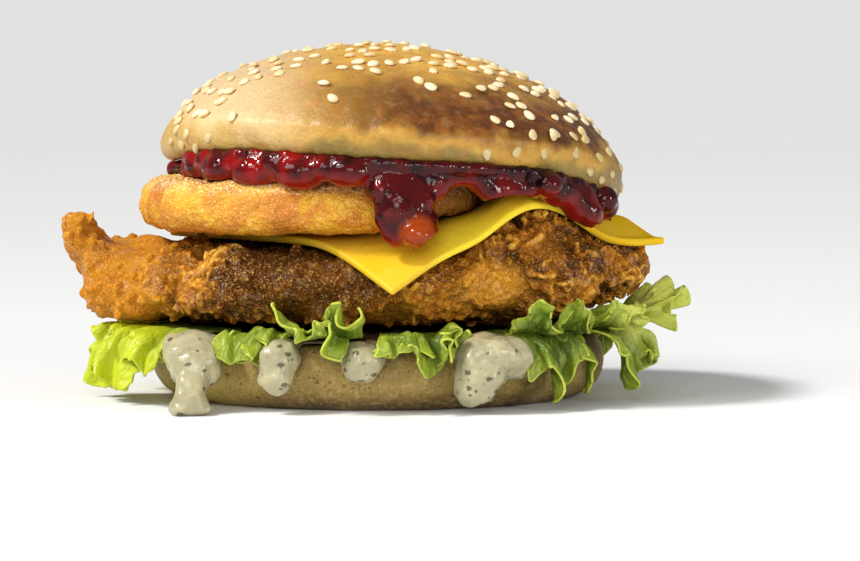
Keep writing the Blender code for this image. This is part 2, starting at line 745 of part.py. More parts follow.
def trim_box(obj, name, low, high):
    """Cuts away what lies inside a box."""
    mesh = bmesh.new()
    bmesh.ops.create_cube(mesh, size=1.0)
    for vert in mesh.verts:
        vert.co = [a + (b - a) * (c + 0.5) for a, b, c in zip(low, high, vert.co)]
    boolean(obj, add_solid(name, mesh, obj.data.materials[0]), "DIFFERENCE", "MANIFOLD")


def relish_floor(x, y):
    """The top of what the relish lies on: the hash brown, the cheese, or its own lowest level."""
    lower = smooth_value([(24, 0.0), (30, 0.75), (34, 1.0)], x)
    on_cheese = cheese_middle(x, y) + CHEESE_THICKNESS / 2 + GAP + 0.4
    floor = crown_seat(x) - 5.5
    floor += min(on_cheese - floor, 0.0) * lower
    if past_hash(x, y) < 1.5:
        floor = max(floor, HASH_TOP + GAP + 0.1 * lift(x + 3.0))
    if past_cheese(x, y) < 1.5:
        floor = max(floor, cheese_middle(x, y) + CHEESE_THICKNESS / 2 + GAP)
    return min(floor, crown_seat(x) - 2.5)


def add_relish():
    """The fruit relish: a lumpy layer under the crown, with two runs over the cheese."""
    finish = material("fruit_relish", (0.16, 0.015, 0.015), 0.15)
    profile = [(0.0, 0.0), (0.6, 0.0), (0.93, 0.0), (0.99, 0.22), (1.0, 0.6), (0.97, 0.92)]
    profile += [(0.93, 1.0), (0.6, 1.0), (0.0, 1.0)]

    def shape(angle, share, level):
        lump = 1.7 * ripple(50 * math.cos(angle), 50 * math.sin(angle), 0.0, 5.5, 8)
        reach = (RELISH_RADIUS + lump) * share if share > 0.94 else RELISH_RADIUS * share
        x = CROWN_CENTRE_X + reach * math.cos(angle)
        y = reach * math.sin(angle)
        top, low = crown_seat(x) - GAP, relish_floor(x, y)
        return Vector((x, y, low + (top - low) * level))

    relish = add_solid("fruit_relish", turned(profile, RELISH_SEGMENTS, shape), finish)
    middle_run = [(0.5, -47.0, 57.0, 6.5, 3.4), (4.5, -51.5, 53.5, 6.2, 5.0)]
    middle_run += [(5.5, -54.0, 48.5, 5.4, 6.0), (4.8, -54.8, 43.3, 3.8, 4.8)]
    middle_run += [(10.8, -55.8, 42.5, 4.8, 4.4), (9.5, -53.5, 49.0, 4.8, 5.4)]
    middle_run += [(13.5, -50.5, 54.0, 5.2, 4.5)]
    right_run = [(44.0, -33.0, 52.0, 5.0, 4.6), (49.0, -29.0, 49.0, 4.8, 5.4)]
    right_run += [(52.0, -26.0, 46.5, 3.8, 4.8), (56.0, -18.0, 48.0, 3.9, 4.6)]
    for name, balls in (("middle", middle_run), ("right", right_run)):
        boolean(relish, add_blob("relish_" + name, balls, finish), "UNION")
    thinned(relish, 0.38)
    boolean(relish, add_hash("hash_clearance", GAP), "DIFFERENCE", "MANIFOLD")
    boolean(relish, add_cheese("cheese_clearance", GAP), "DIFFERENCE", "MANIFOLD")
    boolean(relish, add_solid("crown_clearance", lowered_crown(), finish), "DIFFERENCE", "MANIFOLD")
    keep_largest_body(relish)
    return relish


def build():
    clear_scene()
    add_heel("bun_heel")
    add_sauce()
    add_leaves()
    add_chicken()
    add_cheese("cheese_slice")
    add_hash("hash_brown")
    add_relish()
    add_crown()


build()
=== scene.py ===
"""The looks of a tall chicken burger: its layers, their finishes, and a pale stage around it.

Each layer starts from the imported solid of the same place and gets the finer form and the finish
that the real food has. Sizes are in millimetres in the tables, and MM turns them into metres.
"""

import math
import random

import bmesh
import bpy
from mathutils import Matrix, Vector, noise
from mathutils.bvhtree import BVHTree


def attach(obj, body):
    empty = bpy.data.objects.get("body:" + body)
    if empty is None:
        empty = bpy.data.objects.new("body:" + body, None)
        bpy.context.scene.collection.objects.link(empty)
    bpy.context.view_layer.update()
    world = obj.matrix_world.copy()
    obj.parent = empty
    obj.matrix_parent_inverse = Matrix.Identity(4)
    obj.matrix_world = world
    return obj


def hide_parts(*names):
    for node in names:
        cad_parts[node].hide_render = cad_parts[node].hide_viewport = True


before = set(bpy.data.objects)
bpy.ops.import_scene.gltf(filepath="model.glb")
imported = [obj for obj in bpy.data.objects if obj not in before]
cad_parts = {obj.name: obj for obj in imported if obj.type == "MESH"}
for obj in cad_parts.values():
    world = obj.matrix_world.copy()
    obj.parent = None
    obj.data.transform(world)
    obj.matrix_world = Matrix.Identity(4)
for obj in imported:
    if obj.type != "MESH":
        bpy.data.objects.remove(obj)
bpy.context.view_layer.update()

bl_info = {
    "name": "Chicken Burger",
    "version": (1, 0, 0),
    "blender": (4, 5, 0),
    "location": "3D View > Sidebar > Burger",
    "description": "Builds the layers of a chicken burger, their finishes and a plain stage",
    "category": "Add Mesh",
}

MM = 0.001


def srgb(red, green, blue):
    """A colour of 0 to 255 a channel, as the linear values that shaders use."""
    channels = [c / 255 for c in (red, green, blue)]
    return tuple(c / 12.92 if c < 0.04045 else ((c + 0.055) / 1.055) ** 2.4 for c in channels)


def unit(value):
    """The value, held between 0 and 1."""
    return min(max(value, 0.0), 1.0)


def length(name, description, millimetres):
    return bpy.props.FloatProperty(
        name=name, description=description, default=millimetres * MM, unit="LENGTH", precision=5
    )


def colour(name, description, *rgb):
    return bpy.props.FloatVectorProperty(
        name=name, description=description, default=srgb(*rgb), subtype="COLOR", size=3, min=0.0, max=1.0
    )


class BurgerSizes(bpy.types.PropertyGroup):
    """Sizes of the food's finer forms."""

    seed_tries: bpy.props.IntProperty(
        name="Seed tries", description="Draws for each sesame seed to find a free place", default=12, min=1
    )
    seed_length: length("Seed length", "Length of one sesame seed", 3.4)
    crust_lump: length("Crust lump", "Radius of the largest lumps of the fried crust", 4.0)
    crust_voxel: length("Crust grain", "Grain of the mesh of the fried crust", 0.52)
    potato_voxel: length("Potato grain", "Grain of the mesh of the hash brown", 0.5)
    relish_lump: length("Relish lump", "Radius of the largest fruit lumps", 3.4)
    leaf_thickness: length("Leaf thickness", "Thickness of a lettuce leaf", 0.6)
    floor_side: length("Floor side", "Side of the pale floor", 6000.0)


class BurgerColours(bpy.types.PropertyGroup):
    """The colours that the finishes start from."""

    crust_top: colour("Bun top", "Baked top of the upper bun", 224, 174, 68)
    crust_side: colour("Bun side", "Paler lower side of the upper bun", 136, 115, 54)
    # Partly the baked band's own brown and partly painted shade: the band is laid darker towards the right,
    # away from the light.
    crust_band_and_shade: colour("Bun band", "Darker baked band above the pale side", 84, 40, 3)
    seed: colour("Seeds", "Sesame seeds", 242, 228, 192)
    heel: colour("Lower bun", "Side of the lower bun", 161, 135, 62)
    # The crust's tips and hollows carry painted light and shade over the crust's own browns: the tips lighter
    # as if lit, the hollows darker as if shaded.
    fried_tip_and_light: colour("Crust tips", "Raised tips of the fried crust", 238, 184, 72)
    fried_hollow_shade: colour("Crust hollows", "Hollows of the fried crust", 74, 33, 4)
    potato: colour("Hash brown", "Crumb of the hash brown", 196, 122, 12)
    cheese: colour("Cheese", "The cheese slice", 230, 190, 52)
    relish: colour("Relish", "Body of the fruit relish", 72, 8, 10)
    relish_thin: colour("Thin relish", "Relish where it is thin and lit through", 146, 56, 14)
    sauce: colour("Herb sauce", "The creamy sauce", 163, 157, 124)
    herb: colour("Herbs", "Flecks in the sauce", 70, 68, 46)
    leaf: colour("Lettuce", "Face of the lettuce", 124, 142, 34)
    leaf_edge: colour("Lettuce edge", "Frilled edge of the lettuce", 168, 182, 50)


def sizes():
    return bpy.context.scene.burger_sizes


def colours():
    return bpy.context.scene.burger_colours


# Mesh helpers


def select_only(obj):
    bpy.ops.object.select_all(action="DESELECT")
    obj.select_set(True)
    bpy.context.view_layer.objects.active = obj


def apply_modifier(obj, kind, **settings):
    """Adds a modifier with these settings and makes its result the mesh."""
    select_only(obj)
    step = obj.modifiers.new(kind.lower(), kind)
    for name, value in settings.items():
        setattr(step, name, value)
    bpy.ops.object.modifier_apply(modifier=step.name)


def voxel(obj, size):
    apply_modifier(obj, "REMESH", mode="VOXEL", voxel_size=size)


def smoothed(obj, rounds, factor=0.5):
    apply_modifier(obj, "SMOOTH", factor=factor, iterations=rounds)


def without_specks(obj):
    """Deletes the small loose bits that a voxel mesh can leave beside its largest part."""
    mesh = bmesh.new()
    mesh.from_mesh(obj.data)
    left, parts = set(mesh.verts), []
    while left:
        part, front = set(), [left.pop()]
        while front:
            vert = front.pop()
            part.add(vert)
            for edge in vert.link_edges:
                other = edge.other_vert(vert)
                if other in left:
                    left.remove(other)
                    front.append(other)
        parts.append(part)
    parts.sort(key=len)
    specks = [vert for part in parts[:-1] for vert in part]
    bmesh.ops.delete(mesh, geom=specks, context="VERTS")
    mesh.to_mesh(obj.data)
    mesh.free()


def node_copy(node, name):
    """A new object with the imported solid's mesh, its loose triangles joined."""
    obj = bpy.data.objects.new(name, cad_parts[node].data.copy())
    obj.data.name = name
    obj.data.materials.clear()
    bpy.context.scene.collection.objects.link(obj)
    select_only(obj)
    bpy.ops.object.mode_set(mode="EDIT")
    bpy.ops.mesh.select_all(action="SELECT")
    bpy.ops.mesh.remove_doubles(threshold=0.00001)
    bpy.ops.mesh.customdata_custom_splitnormals_clear()
    bpy.ops.object.mode_set(mode="OBJECT")
    return obj


def into_quads(obj):
    """Joins the solid's triangles to quads wherever they lie nearly flat."""
    flat = math.radians(60)
    select_only(obj)
    bpy.ops.object.mode_set(mode="EDIT")
    bpy.ops.mesh.select_all(action="SELECT")
    bpy.ops.mesh.tris_convert_to_quads(face_threshold=flat, shape_threshold=flat)
    bpy.ops.object.mode_set(mode="OBJECT")


def reshape(obj, place):
    """Moves every vertex to place(point, normal), all in millimetres."""
    mesh = obj.data
    normals = [Vector(n.vector) for n in mesh.vertex_normals]
    for vert, normal in zip(mesh.vertices, normals):
        vert.co = place(vert.co / MM, normal) * MM
    mesh.update()


def skin_of(*objects):
    """A search tree of each object's faces, with its box, in metres."""
    trees = []
    for obj in objects:
        mesh = obj.data
        tree = BVHTree.FromPolygons([v.co for v in mesh.vertices], [p.vertices for p in mesh.polygons])
        low = Vector([min(v.co[k] for v in mesh.vertices) for k in range(3)])
        high = Vector([max(v.co[k] for v in mesh.vertices) for k in range(3)])
        trees.append((tree, low, high))
    return trees


def push_out(obj, trees, gap, deepest=6.0):
    """Moves the vertices that are inside a neighbour, or nearer to it than gap, to its outside."""
    reach = gap * MM
    for vert in obj.data.vertices:
        for tree, low, high in trees:
            point = vert.co
            if any(point[k] < low[k] - reach or point[k] > high[k] + reach for k in range(3)):
                continue
            found, normal, _, distance = tree.find_nearest(point)
            if distance < deepest * MM and (point - found).dot(normal) < reach:
                vert.co = found + normal * reach
    obj.data.update()


def fine_relief(obj, rounds, scale):
    """Stores how far each point stands above (over 0.5) or lies below the softened surface round it."""
    soft = obj.copy()
    soft.data = obj.data.copy()
    bpy.context.scene.collection.objects.link(soft)
    smoothed(soft, rounds)
    values = []
    for vert, flat in zip(obj.data.vertices, soft.data.vertices):
        rise = (vert.co - flat.co).dot(vert.normal) / MM
        values.append(unit(0.5 + rise / scale))
    obj.data.attributes.new("fine", "FLOAT", "POINT").data.foreach_set("value", values)
    bpy.data.objects.remove(soft)


def crags(point, size, seed=0.0):
    """Rounded clumps with sharp creases between them, about -0.5 to 0.5, for a place in millimetres."""
    near = noise.voronoi((point + Vector((seed, seed, 0))) / size)[0]
    return 0.5 - near[0]


def bumps(point, size, seed=0.0):
    """Soft noise of about -1 to 1 with lumps of this size, for a place in millimetres."""
    return noise.noise((point + Vector((seed, 0, seed))) / size)


def random_places(obj, count, draw, keep=None):
    """Seeded places on the surface, spread by area: (point, normal) in metres."""
    mesh = obj.data
    polygons = list(mesh.polygons)
    weights, total = [], 0.0
    for face in polygons:
        total += face.area * (keep(face.center / MM, face.normal) if keep else 1.0)
        weights.append(total)
    chosen = draw.choices(polygons, cum_weights=weights, k=count)
    return [(face.center.copy(), face.normal.copy()) for face in chosen]


def template(kind, **settings):
    """The mesh of one primitive, to be copied to many places."""
    bpy.ops.object.select_all(action="DESELECT")
    getattr(bpy.ops.mesh, "primitive_" + kind + "_add")(**settings)
    obj = bpy.context.active_object
    points = [v.co.copy() for v in obj.data.vertices]
    faces = [tuple(p.vertices) for p in obj.data.polygons]
    bpy.data.objects.remove(obj)
    return points, faces


def scattered(name, shape, matrices):
    """One mesh with a copy of the shape at each matrix."""
    points, faces = shape
    all_points, all_faces = [], []
    for matrix in matrices:
        start = len(all_points)
        all_points += [matrix @ p for p in points]
        all_faces += [tuple(start + i for i in face) for face in faces]
    mesh = bpy.data.meshes.new(name)
    mesh.from_pydata(all_points, [], all_faces)
    obj = bpy.data.objects.new(name, mesh)
    bpy.context.scene.collection.objects.link(obj)
    return obj


def placed(point, normal, spin, scale):
    """A matrix at the point, its Z along the normal, turned by spin, with three scales."""
    turn = normal.to_track_quat("Z", "Y").to_matrix() @ Matrix.Rotation(spin, 3, "Z")
    return Matrix.Translation(point) @ (turn @ Matrix.Diagonal(scale)).to_4x4()


def upright(x, y, z, wide, high):
    """A matrix for an upright round lump at a place in millimetres."""
    return placed(Vector((x, y, z)) * MM, Vector((0, 0, 1)), 0.0, (wide * MM, wide * MM, high * MM))


def strewn(draw, places, size_of, ranges, lean, rise):
    """Matrices for lumps at these places. ranges are of the three scales, lean is how far a lump may
    tip, and rise is how high it sits, in its own sizes: a number or a range."""
    matrices = []
    for point, normal in places:
        size = size_of()
        scale = [size * draw.uniform(*limits) for limits in ranges]
        tipped = normal + Vector([draw.uniform(-lean, lean) for _ in range(3)])
        height = draw.uniform(*rise) if isinstance(rise, tuple) else rise
        matrices.append(placed(point + normal * size * height, tipped, draw.uniform(0, 6.3), scale))
    return matrices


def joined(first, *others):
    select_only(first)
    for obj in others:
        obj.select_set(True)
    bpy.ops.object.join()
    return first


def finished(obj, finish, slot, *nodes):
    """Shades the piece smooth, gives it its finish, and lets it stand for the nodes."""
    select_only(obj)
    bpy.ops.object.shade_smooth()
    obj.data.materials.clear()
    obj.data.materials.append(finish)
    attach(obj, "root")
    if nodes:
        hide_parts(*nodes)
    return obj


def point_values(obj, name, value):
    """Stores value(point, normal) of each vertex, with the point in millimetres."""
    mesh = obj.data
    normals = [Vector(n.vector) for n in mesh.vertex_normals]
    attribute = mesh.attributes.new(name, "FLOAT", "POINT")
    attribute.data.foreach_set("value", [value(v.co / MM, n) for v, n in zip(mesh.vertices, normals)])


# Finish helpers


def feed(tree, socket, value):
    if isinstance(value, bpy.types.NodeSocket):
        tree.links.new(value, socket)
    elif hasattr(value, "__len__") and len(value) == 3 and socket.type == "RGBA":
        socket.default_value = (*value, 1.0)
    else:
        socket.default_value = value


def add_node(tree, kind, values=None, **settings):
    made = tree.nodes.new("ShaderNode" + kind)
    for name, value in settings.items():
        setattr(made, name, value)
    for name, value in (values or {}).items():
        feed(tree, made.inputs[name], value)
    return made


def new_group(name, inputs):
    """A shader node group with a Place, float inputs (name: default) and a Mask: the group, what it
    is given, and its Mask."""
    group = bpy.data.node_groups.new(name, "ShaderNodeTree")
    group.interface.new_socket("Place", in_out="INPUT", socket_type="NodeSocketVector")
    for socket, default in inputs.items():
        made = group.interface.new_socket(socket, in_out="INPUT", socket_type="NodeSocketFloat")
        made.default_value = default
    group.interface.new_socket("Mask", in_out="OUTPUT", socket_type="NodeSocketFloat")
    start, end = group.nodes.new("NodeGroupInput"), group.nodes.new("NodeGroupOutput")
    return group, start.outputs, end.inputs["Mask"]


def mottle_group():
    """Soft patches: noise of one size, spread between two levels."""
    if "soft_patches" in bpy.data.node_groups:
        return bpy.data.node_groups["soft_patches"]
    inputs = {"Size": 5.0, "Detail": 2.0, "Low": 0.4, "High": 0.6, "Warp": 0.0}
    group, given, end = new_group("soft_patches", inputs)
    scale = add_node(group, "Math", {0: 1.0, 1: given["Size"]}, operation="DIVIDE")
    values = {"Vector": given["Place"], "Scale": scale.outputs[0]}
    cloud = add_node(group, "TexNoise", {**values, "Detail": given["Detail"], "Distortion": given["Warp"]})
    values = {"Value": cloud.outputs[0], "From Min": given["Low"], "From Max": given["High"]}
    spread = add_node(group, "MapRange", values, interpolation_type="SMOOTHSTEP")
    group.links.new(spread.outputs["Result"], end)
    return group


def fleck_group():
    """Separate spots: one in some of the cells of a grid of this size, each with a soft rim."""
    if "flecks" in bpy.data.node_groups:
        return bpy.data.node_groups["flecks"]
    group, given, end = new_group("flecks", {"Size": 2.0, "Radius": 0.2, "Share": 0.5})
    scale = add_node(group, "Math", {0: 1.0, 1: given["Size"]}, operation="DIVIDE")
    warp = add_node(group, "TexNoise", {"Vector": given["Place"], "Scale": 1.1, "Detail": 1.0})
    shifted = add_node(group, "VectorMath", {0: given["Place"], 1: warp.outputs["Color"]}, operation="ADD")
    cells = add_node(group, "TexVoronoi", {"Vector": shifted.outputs[0], "Scale": scale.outputs[0]})
    inner = add_node(group, "Math", {0: given["Radius"], 1: 0.6}, operation="MULTIPLY")
    values = {"Value": cells.outputs["Distance"], "From Min": given["Radius"], "From Max": inner.outputs[0]}
    spot = add_node(group, "MapRange", values, interpolation_type="SMOOTHSTEP")
    split = add_node(group, "SeparateColor", {"Color": cells.outputs["Color"]})
    chosen = add_node(group, "Math", {0: split.outputs[0], 1: given["Share"]}, operation="LESS_THAN")
    both = add_node(group, "Math", {0: spot.outputs["Result"], 1: chosen.outputs[0]}, operation="MULTIPLY")
    group.links.new(both.outputs[0], end)
    return group


class Finish:
    """A material in the making: place holds the object's coordinates in millimetres, base the colour so
    far, and every mask goes from 0 to 1."""

    def __init__(self, name, **constants):
        self.material = bpy.data.materials.new(name)
        self.material.use_nodes = True
        self.tree = self.material.node_tree
        self.shader = self.tree.nodes["Principled BSDF"]
        self.normal = None
        for socket, value in constants.items():
            self.shader.inputs[socket.replace("_", " ").title().replace("Ior", "IOR")].default_value = value
        metres = self.add("TexCoord").outputs["Object"]
        self.place = self.vector("MULTIPLY", metres, (1 / MM,) * 3)
        self.base = None

    def add(self, kind, values=None, **settings):
        return add_node(self.tree, kind, values, **settings)

    def vector(self, operation, first, second=(0, 0, 0), output=0):
        return self.add("VectorMath", {0: first, 1: second}, operation=operation).outputs[output]

    def stretched(self, x, y, z):
        return self.vector("MULTIPLY", self.place, (x, y, z))

    def grouped(self, group, **values):
        """The mask of a shader group, its inputs given by name."""
        made = self.add("Group", node_tree=group)
        for name, value in values.items():
            feed(self.tree, made.inputs[name.title()], value)
        return made.outputs["Mask"]

    def patches(self, size, low, high, detail=2.0, warp=0.0, place=None):
        values = {"place": place or self.place, "size": size, "detail": detail, "low": low, "high": high}
        return self.grouped(mottle_group(), warp=warp, **values)

    def flecks(self, size, radius, share, place=None):
        return self.grouped(fleck_group(), place=place or self.place, size=size, radius=radius, share=share)

    def crumbs(self, size):
        """Rounded grains of this size: 0 in the seams between them to 1 on their tops."""
        warp = self.add("TexNoise", {"Vector": self.place, "Scale": 0.6 / size, "Detail": 2.0})
        shift = self.vector("MULTIPLY", warp.outputs["Color"], (size * 0.5,) * 3)
        moved = self.vector("ADD", self.place, shift)
        cells = self.add("TexVoronoi", {"Vector": moved, "Scale": 1.0 / size})
        return self.ranged(cells.outputs["Distance"], 0.75, 0.1)

    def stored(self, name):
        return self.add("Attribute", attribute_name=name).outputs["Fac"]

    def axis(self, index, low, high):
        """0 at low to 1 at high along one axis, in millimetres."""
        split = self.add("SeparateXYZ", {"Vector": self.place})
        return self.ranged(split.outputs[index], low, high)

    def ranged(self, value, low, high, start=0.0, end=1.0):
        values = {"Value": value, "From Min": low, "From Max": high, "To Min": start, "To Max": end}
        return self.add("MapRange", values, interpolation_type="SMOOTHSTEP").outputs["Result"]

    def between(self, mask, start, end):
        """A value that goes from start to end with the mask."""
        return self.ranged(mask, 0.0, 1.0, start, end)

    def math(self, operation, first, second):
        return self.add("Math", {0: first, 1: second}, operation=operation).outputs[0]

    def times(self, first, second):
        return self.math("MULTIPLY", first, second)

    def mix(self, share, low, high, blend="MIX"):
        made = self.add("Mix", data_type="RGBA", blend_type=blend)
        for index, value in ((0, share), (6, low), (7, high)):
            feed(self.tree, made.inputs[index], value)
        return made.outputs[2]

    def lay(self, mask, over, most=1.0):
        """Lays a colour over the base by a mask, at most with this share."""
        self.base = self.mix(self.times(mask, most) if most < 1.0 else mask, self.base, over)

    def shade(self, socket, value):
        """Drives one of the shader's inputs."""
        feed(self.tree, self.shader.inputs[socket], value)

    def ramp(self, value, *stops):
        """Colours along a value: (place, colour) pairs."""
        made = self.add("ValToRGB", {"Fac": value})
        elements = made.color_ramp.elements
        for index, (position, rgb) in enumerate(stops):
            stop = elements[index] if index < 2 else elements.new(position)
            stop.position = position
            stop.color = (*rgb, 1.0)
        return made.outputs["Color"]

    def bump(self, height, depth, strength=1.0):
        values = {"Height": height, "Distance": depth * MM, "Strength": strength}
        if self.normal is not None:
            values["Normal"] = self.normal
        self.normal = self.add("Bump", values).outputs["Normal"]

    def done(self, roughness=None):
        for socket, value in (("Base Color", self.base), ("Roughness", roughness), ("Normal", self.normal)):
            if value is not None:
                self.shade(socket, value)
        return self.material


# The upper bun

CROWN_RADIUS = 57.6
CROWN_CENTRE_X = 3.4
CROWN_HEIGHT = 27.3
CROWN_WIDEST = 6.8
CROWN_TUCK = 4.0
CROWN_SEAT = 59.9
CROWN_RINGS = 56
CROWN_STEPS = 132


def round_crown(angle, out):
    """x and y at this angle and distance from the upper bun's upright axis."""
    return CROWN_CENTRE_X + out * math.cos(angle), out * math.sin(angle)


def from_crown(point):
    """Distance of a point from the upper bun's upright axis."""
    return math.hypot(point.x - CROWN_CENTRE_X, point.y)


def crown_seat(x, height=0.0):
    """Level of the upper bun, which droops at both sides over the filling, its underside the most."""
    away = abs(x - CROWN_CENTRE_X) / CROWN_RADIUS
    underside = 1.0 - min(height / CROWN_WIDEST, 1.0)
    droop = 7.0 + 5.5 * underside if x > CROWN_CENTRE_X else 7.4
    return CROWN_SEAT - 0.0625 * x - droop * min(away, 1.05) ** 6


def crown_height(radius):
    """Height of the dome above the underside at a radius."""
    dome = (1 - min(radius / CROWN_RADIUS, 1.0) ** 1.75) ** 0.72
    return CROWN_WIDEST + (CROWN_HEIGHT - CROWN_WIDEST) * dome


def crown_point(angle, radius, height):
    """A point of the bun's skin in millimetres, with its soft dents."""
    x, y = round_crown(angle, radius)
    dent = 0.0
    if height > 0.5:
        dent = 0.8 * noise.noise(Vector((x / 22.0 + 11, y / 22.0, height / 22.0)))
    return Vector((x, y, crown_seat(x, height) + height + dent))


def crown_profile():
    """(radius, height) from the middle of the underside to the top, close together at the rim."""
    pairs = [(CROWN_RADIUS * k / 6 * 0.93, 0.0) for k in range(6)]
    for k in range(13):
        turn = math.pi / 2 * k / 12
        pairs.append((CROWN_RADIUS - CROWN_TUCK * (1 - math.sin(turn)), CROWN_WIDEST * (1 - math.cos(turn))))
    domes = CROWN_RINGS - len(pairs)
    for k in range(1, domes + 1):
        radius = CROWN_RADIUS * math.cos(math.pi / 2 * k / domes)
        pairs.append((radius, crown_height(radius)))
    return pairs


def turned(name, profile, steps, shape):
    """A closed skin round the upright axis, raised ring by ring from a disc, then given its shape."""
    rings = [(radius * MM, height * MM) for radius, height in profile if radius > 1e-6]
    first = rings[0][0]
    bpy.ops.object.select_all(action="DESELECT")
    bpy.ops.mesh.primitive_circle_add(vertices=steps, radius=first, fill_type="NGON", location=(0, 0, 0))
    obj = bpy.context.active_object
    obj.name = obj.data.name = name
    bpy.ops.object.mode_set(mode="EDIT")
    bpy.ops.mesh.select_all(action="SELECT")
    bpy.ops.mesh.poke()
    bpy.ops.object.mode_set(mode="OBJECT")
    mesh = bmesh.new()
    mesh.from_mesh(obj.data)
    rim = [v for v in mesh.verts if v.co.length > first * 0.5]
    rim.sort(key=lambda v: math.atan2(v.co.y, v.co.x))
    for radius, height in rings[1:]:
        ways = [v.co / v.co.xy.length for v in rim]
        ring = [mesh.verts.new((radius * way.x, radius * way.y, height)) for way in ways]
        for k in range(steps):
            mesh.faces.new((rim[k], rim[(k + 1) % steps], ring[(k + 1) % steps], ring[k]))
        rim = ring
    top = mesh.verts.new((0, 0, profile[-1][1] * MM))
    for k in range(steps):
        mesh.faces.new((rim[k], rim[(k + 1) % steps], top))
    for vert in mesh.verts:
        x, y, z = vert.co / MM
        vert.co = shape(math.atan2(y, x), math.hypot(x, y), z) * MM
    bmesh.ops.recalc_face_normals(mesh, faces=mesh.faces)
    mesh.to_mesh(obj.data)
    mesh.free()
    return obj


def crust_finish():
    c = colours()
    made = Finish(
        "baked_crust", roughness=0.42, specular_ior_level=0.34, coat_weight=0.04,
        coat_roughness=0.36, subsurface_weight=0.06, subsurface_scale=0.004,
        subsurface_radius=(1.0, 0.6, 0.3),
    )
    split = made.add("SeparateXYZ", {"Vector": made.place})
    lean = made.times(split.outputs[0], 0.09)
    level = made.math("ADD", split.outputs[2], lean)
    blur = made.times(made.patches(11.0, 0.25, 0.75, 3.0), 5.0)
    level = made.math("SUBTRACT", level, blur)
    # Painted light: the pale lower side is made lighter towards the left, the side the light falls on.
    side = made.mix(made.axis(0, -10.0, -36.0), c.crust_side, srgb(200, 166, 90))
    made.base = made.mix(made.ranged(level, 58.5, 64.5), side, c.crust_top)
    # The darker baked band, with painted shade: it is laid much stronger on the right side, which is turned
    # from the light.
    tan = made.times(made.ranged(level, 61.0, 67.0), made.ranged(level, 84.0, 72.0))
    right = made.ranged(split.outputs[0], -44.0, 14.0, 0.08, 1.0)
    made.lay(made.times(tan, right), c.crust_band_and_shade)
    streaks = made.patches(6.0, 0.42, 0.7, 4.0, 0.8)
    made.lay(streaks, srgb(190, 112, 34), 0.32)
    sheen = made.times(made.ranged(split.outputs[0], -8.0, -34.0), made.ranged(level, 58.0, 64.0))
    made.lay(sheen, srgb(234, 212, 176), 0.6)
    light = made.patches(2.6, 0.5, 0.78, 3.0)
    made.lay(light, srgb(238, 204, 132), 0.12)
    # Painted shade: the lowest part of the bun, at its underside, is made darker.
    under = made.ranged(level, 55.0, 51.5)
    made.lay(under, srgb(140, 100, 44), 0.5)
    fine = made.patches(0.9, 0.3, 0.7, 2.0)
    made.lay(fine, srgb(140, 88, 30), 0.14)
    pores = made.flecks(1.5, 0.2, 0.3)
    made.lay(pores, srgb(120, 76, 34), 0.35)
    made.bump(made.patches(0.8, 0.2, 0.8, 3.0), 0.06)
    made.bump(made.patches(2.4, 0.3, 0.7, 3.0, 1.0), 0.12)
    made.bump(made.math("SUBTRACT", 1.0, pores), 0.07)
    rough = made.between(made.patches(2.0, 0.2, 0.8, 3.0), 0.34, 0.54)
    return made.done(rough)


def seed_finish():
    c = colours()
    made = Finish("sesame", roughness=0.36, subsurface_weight=0.12, subsurface_scale=0.001)
    warm = made.patches(4.5, 0.35, 0.65, 1.0)
    made.base = made.mix(warm, c.seed, srgb(226, 200, 146))
    low = made.times(made.axis(2, 68.0, 64.0), 0.75)
    made.lay(low, srgb(186, 164, 102))
    made.bump(made.patches(0.5, 0.2, 0.8), 0.03)
    return made.done(made.between(warm, 0.32, 0.46))


# Where the seeds lie in groups: the middle (x, y), the spread, and how many
SEED_GROUPS = [
    (-3, -32, 5.5, 9), (-1, -17, 7.0, 9), (8, -43, 3.5, 2), (6, -20, 6.0, 5), (19, -22, 7.5, 14),
    (22, 0, 9.0, 16), (29, -34, 5.0, 5), (32, -42, 3.6, 5), (41, -10, 6.5, 9), (46, -18, 5.5, 7),
    (48, -30, 3.0, 4), (-24, -25, 5.0, 7), (-34, -18, 5.0, 7), (-44, -22, 4.5, 6),
    (-45, -35, 4.5, 6), (-10, -49, 0.5, 1), (-32, -46, 0.5, 1), (-38, 4, 9.0, 9), (-18, 6, 12.0, 14),
    (4, 14, 14.0, 22), (24, 28, 12.0, 18), (46, 14, 8.0, 12), (-20, 34, 14.0, 14),
]
# Seeds on the bun's side: the turn in degrees and the height over its underside
LOW_SEEDS = [
    (200, 5.0), (205, 7.6), (206.5, 3.4), (210.5, 5.6), (213, 1.8), (220, 3.6), (229, 8.6),
    (294, 3.0), (302, 4.2), (310, 4.6), (313, 9.0), (321, 6.2), (325, 10.0), (328, 3.4), (332, 7.0),
    (335, 3.0), (338, 9.6), (341, 5.2), (346, 2.6), (350, 7.4), (357, 4.4), (6, 6.6), (15, 4.0),
]
SEED_SPACING = 3.0
# A seed's width, how much it narrows to one end, and its thickness, all as shares of its length
SEED_WIDTH = 0.7
SEED_TAPER = 0.36
SEED_THICKNESS = 0.36


def seed_places():
    """Where the seeds lie, as (angle, radius), by seeded draws round each group's middle."""
    draw = random.Random(7)
    places, points = [], []
    for x, y, spread, count in SEED_GROUPS:
        for _ in range(count * sizes().seed_tries):
            east, north = draw.gauss(x, spread) - CROWN_CENTRE_X, draw.gauss(y, spread)
            angle, radius = math.atan2(north, east), math.hypot(east, north)
            if radius > CROWN_RADIUS * 0.985:
                continue
            point = crown_point(angle, radius, crown_height(radius))
            if all((point - other).length > SEED_SPACING for other in points):
                places.append((angle, radius))
                points.append(point)
                count -= 1
            if count <= 0:
                break
    return places


def crown_normal(angle, radius):
    here = crown_point(angle, radius, crown_height(radius))
    out = crown_point(angle, radius + 0.6, crown_height(radius + 0.6)) - here
    round_way = Vector((-math.sin(angle), math.cos(angle), 0.0))
    normal = out.cross(round_way).normalized()
    return here, (normal if normal.z > 0 else -normal)


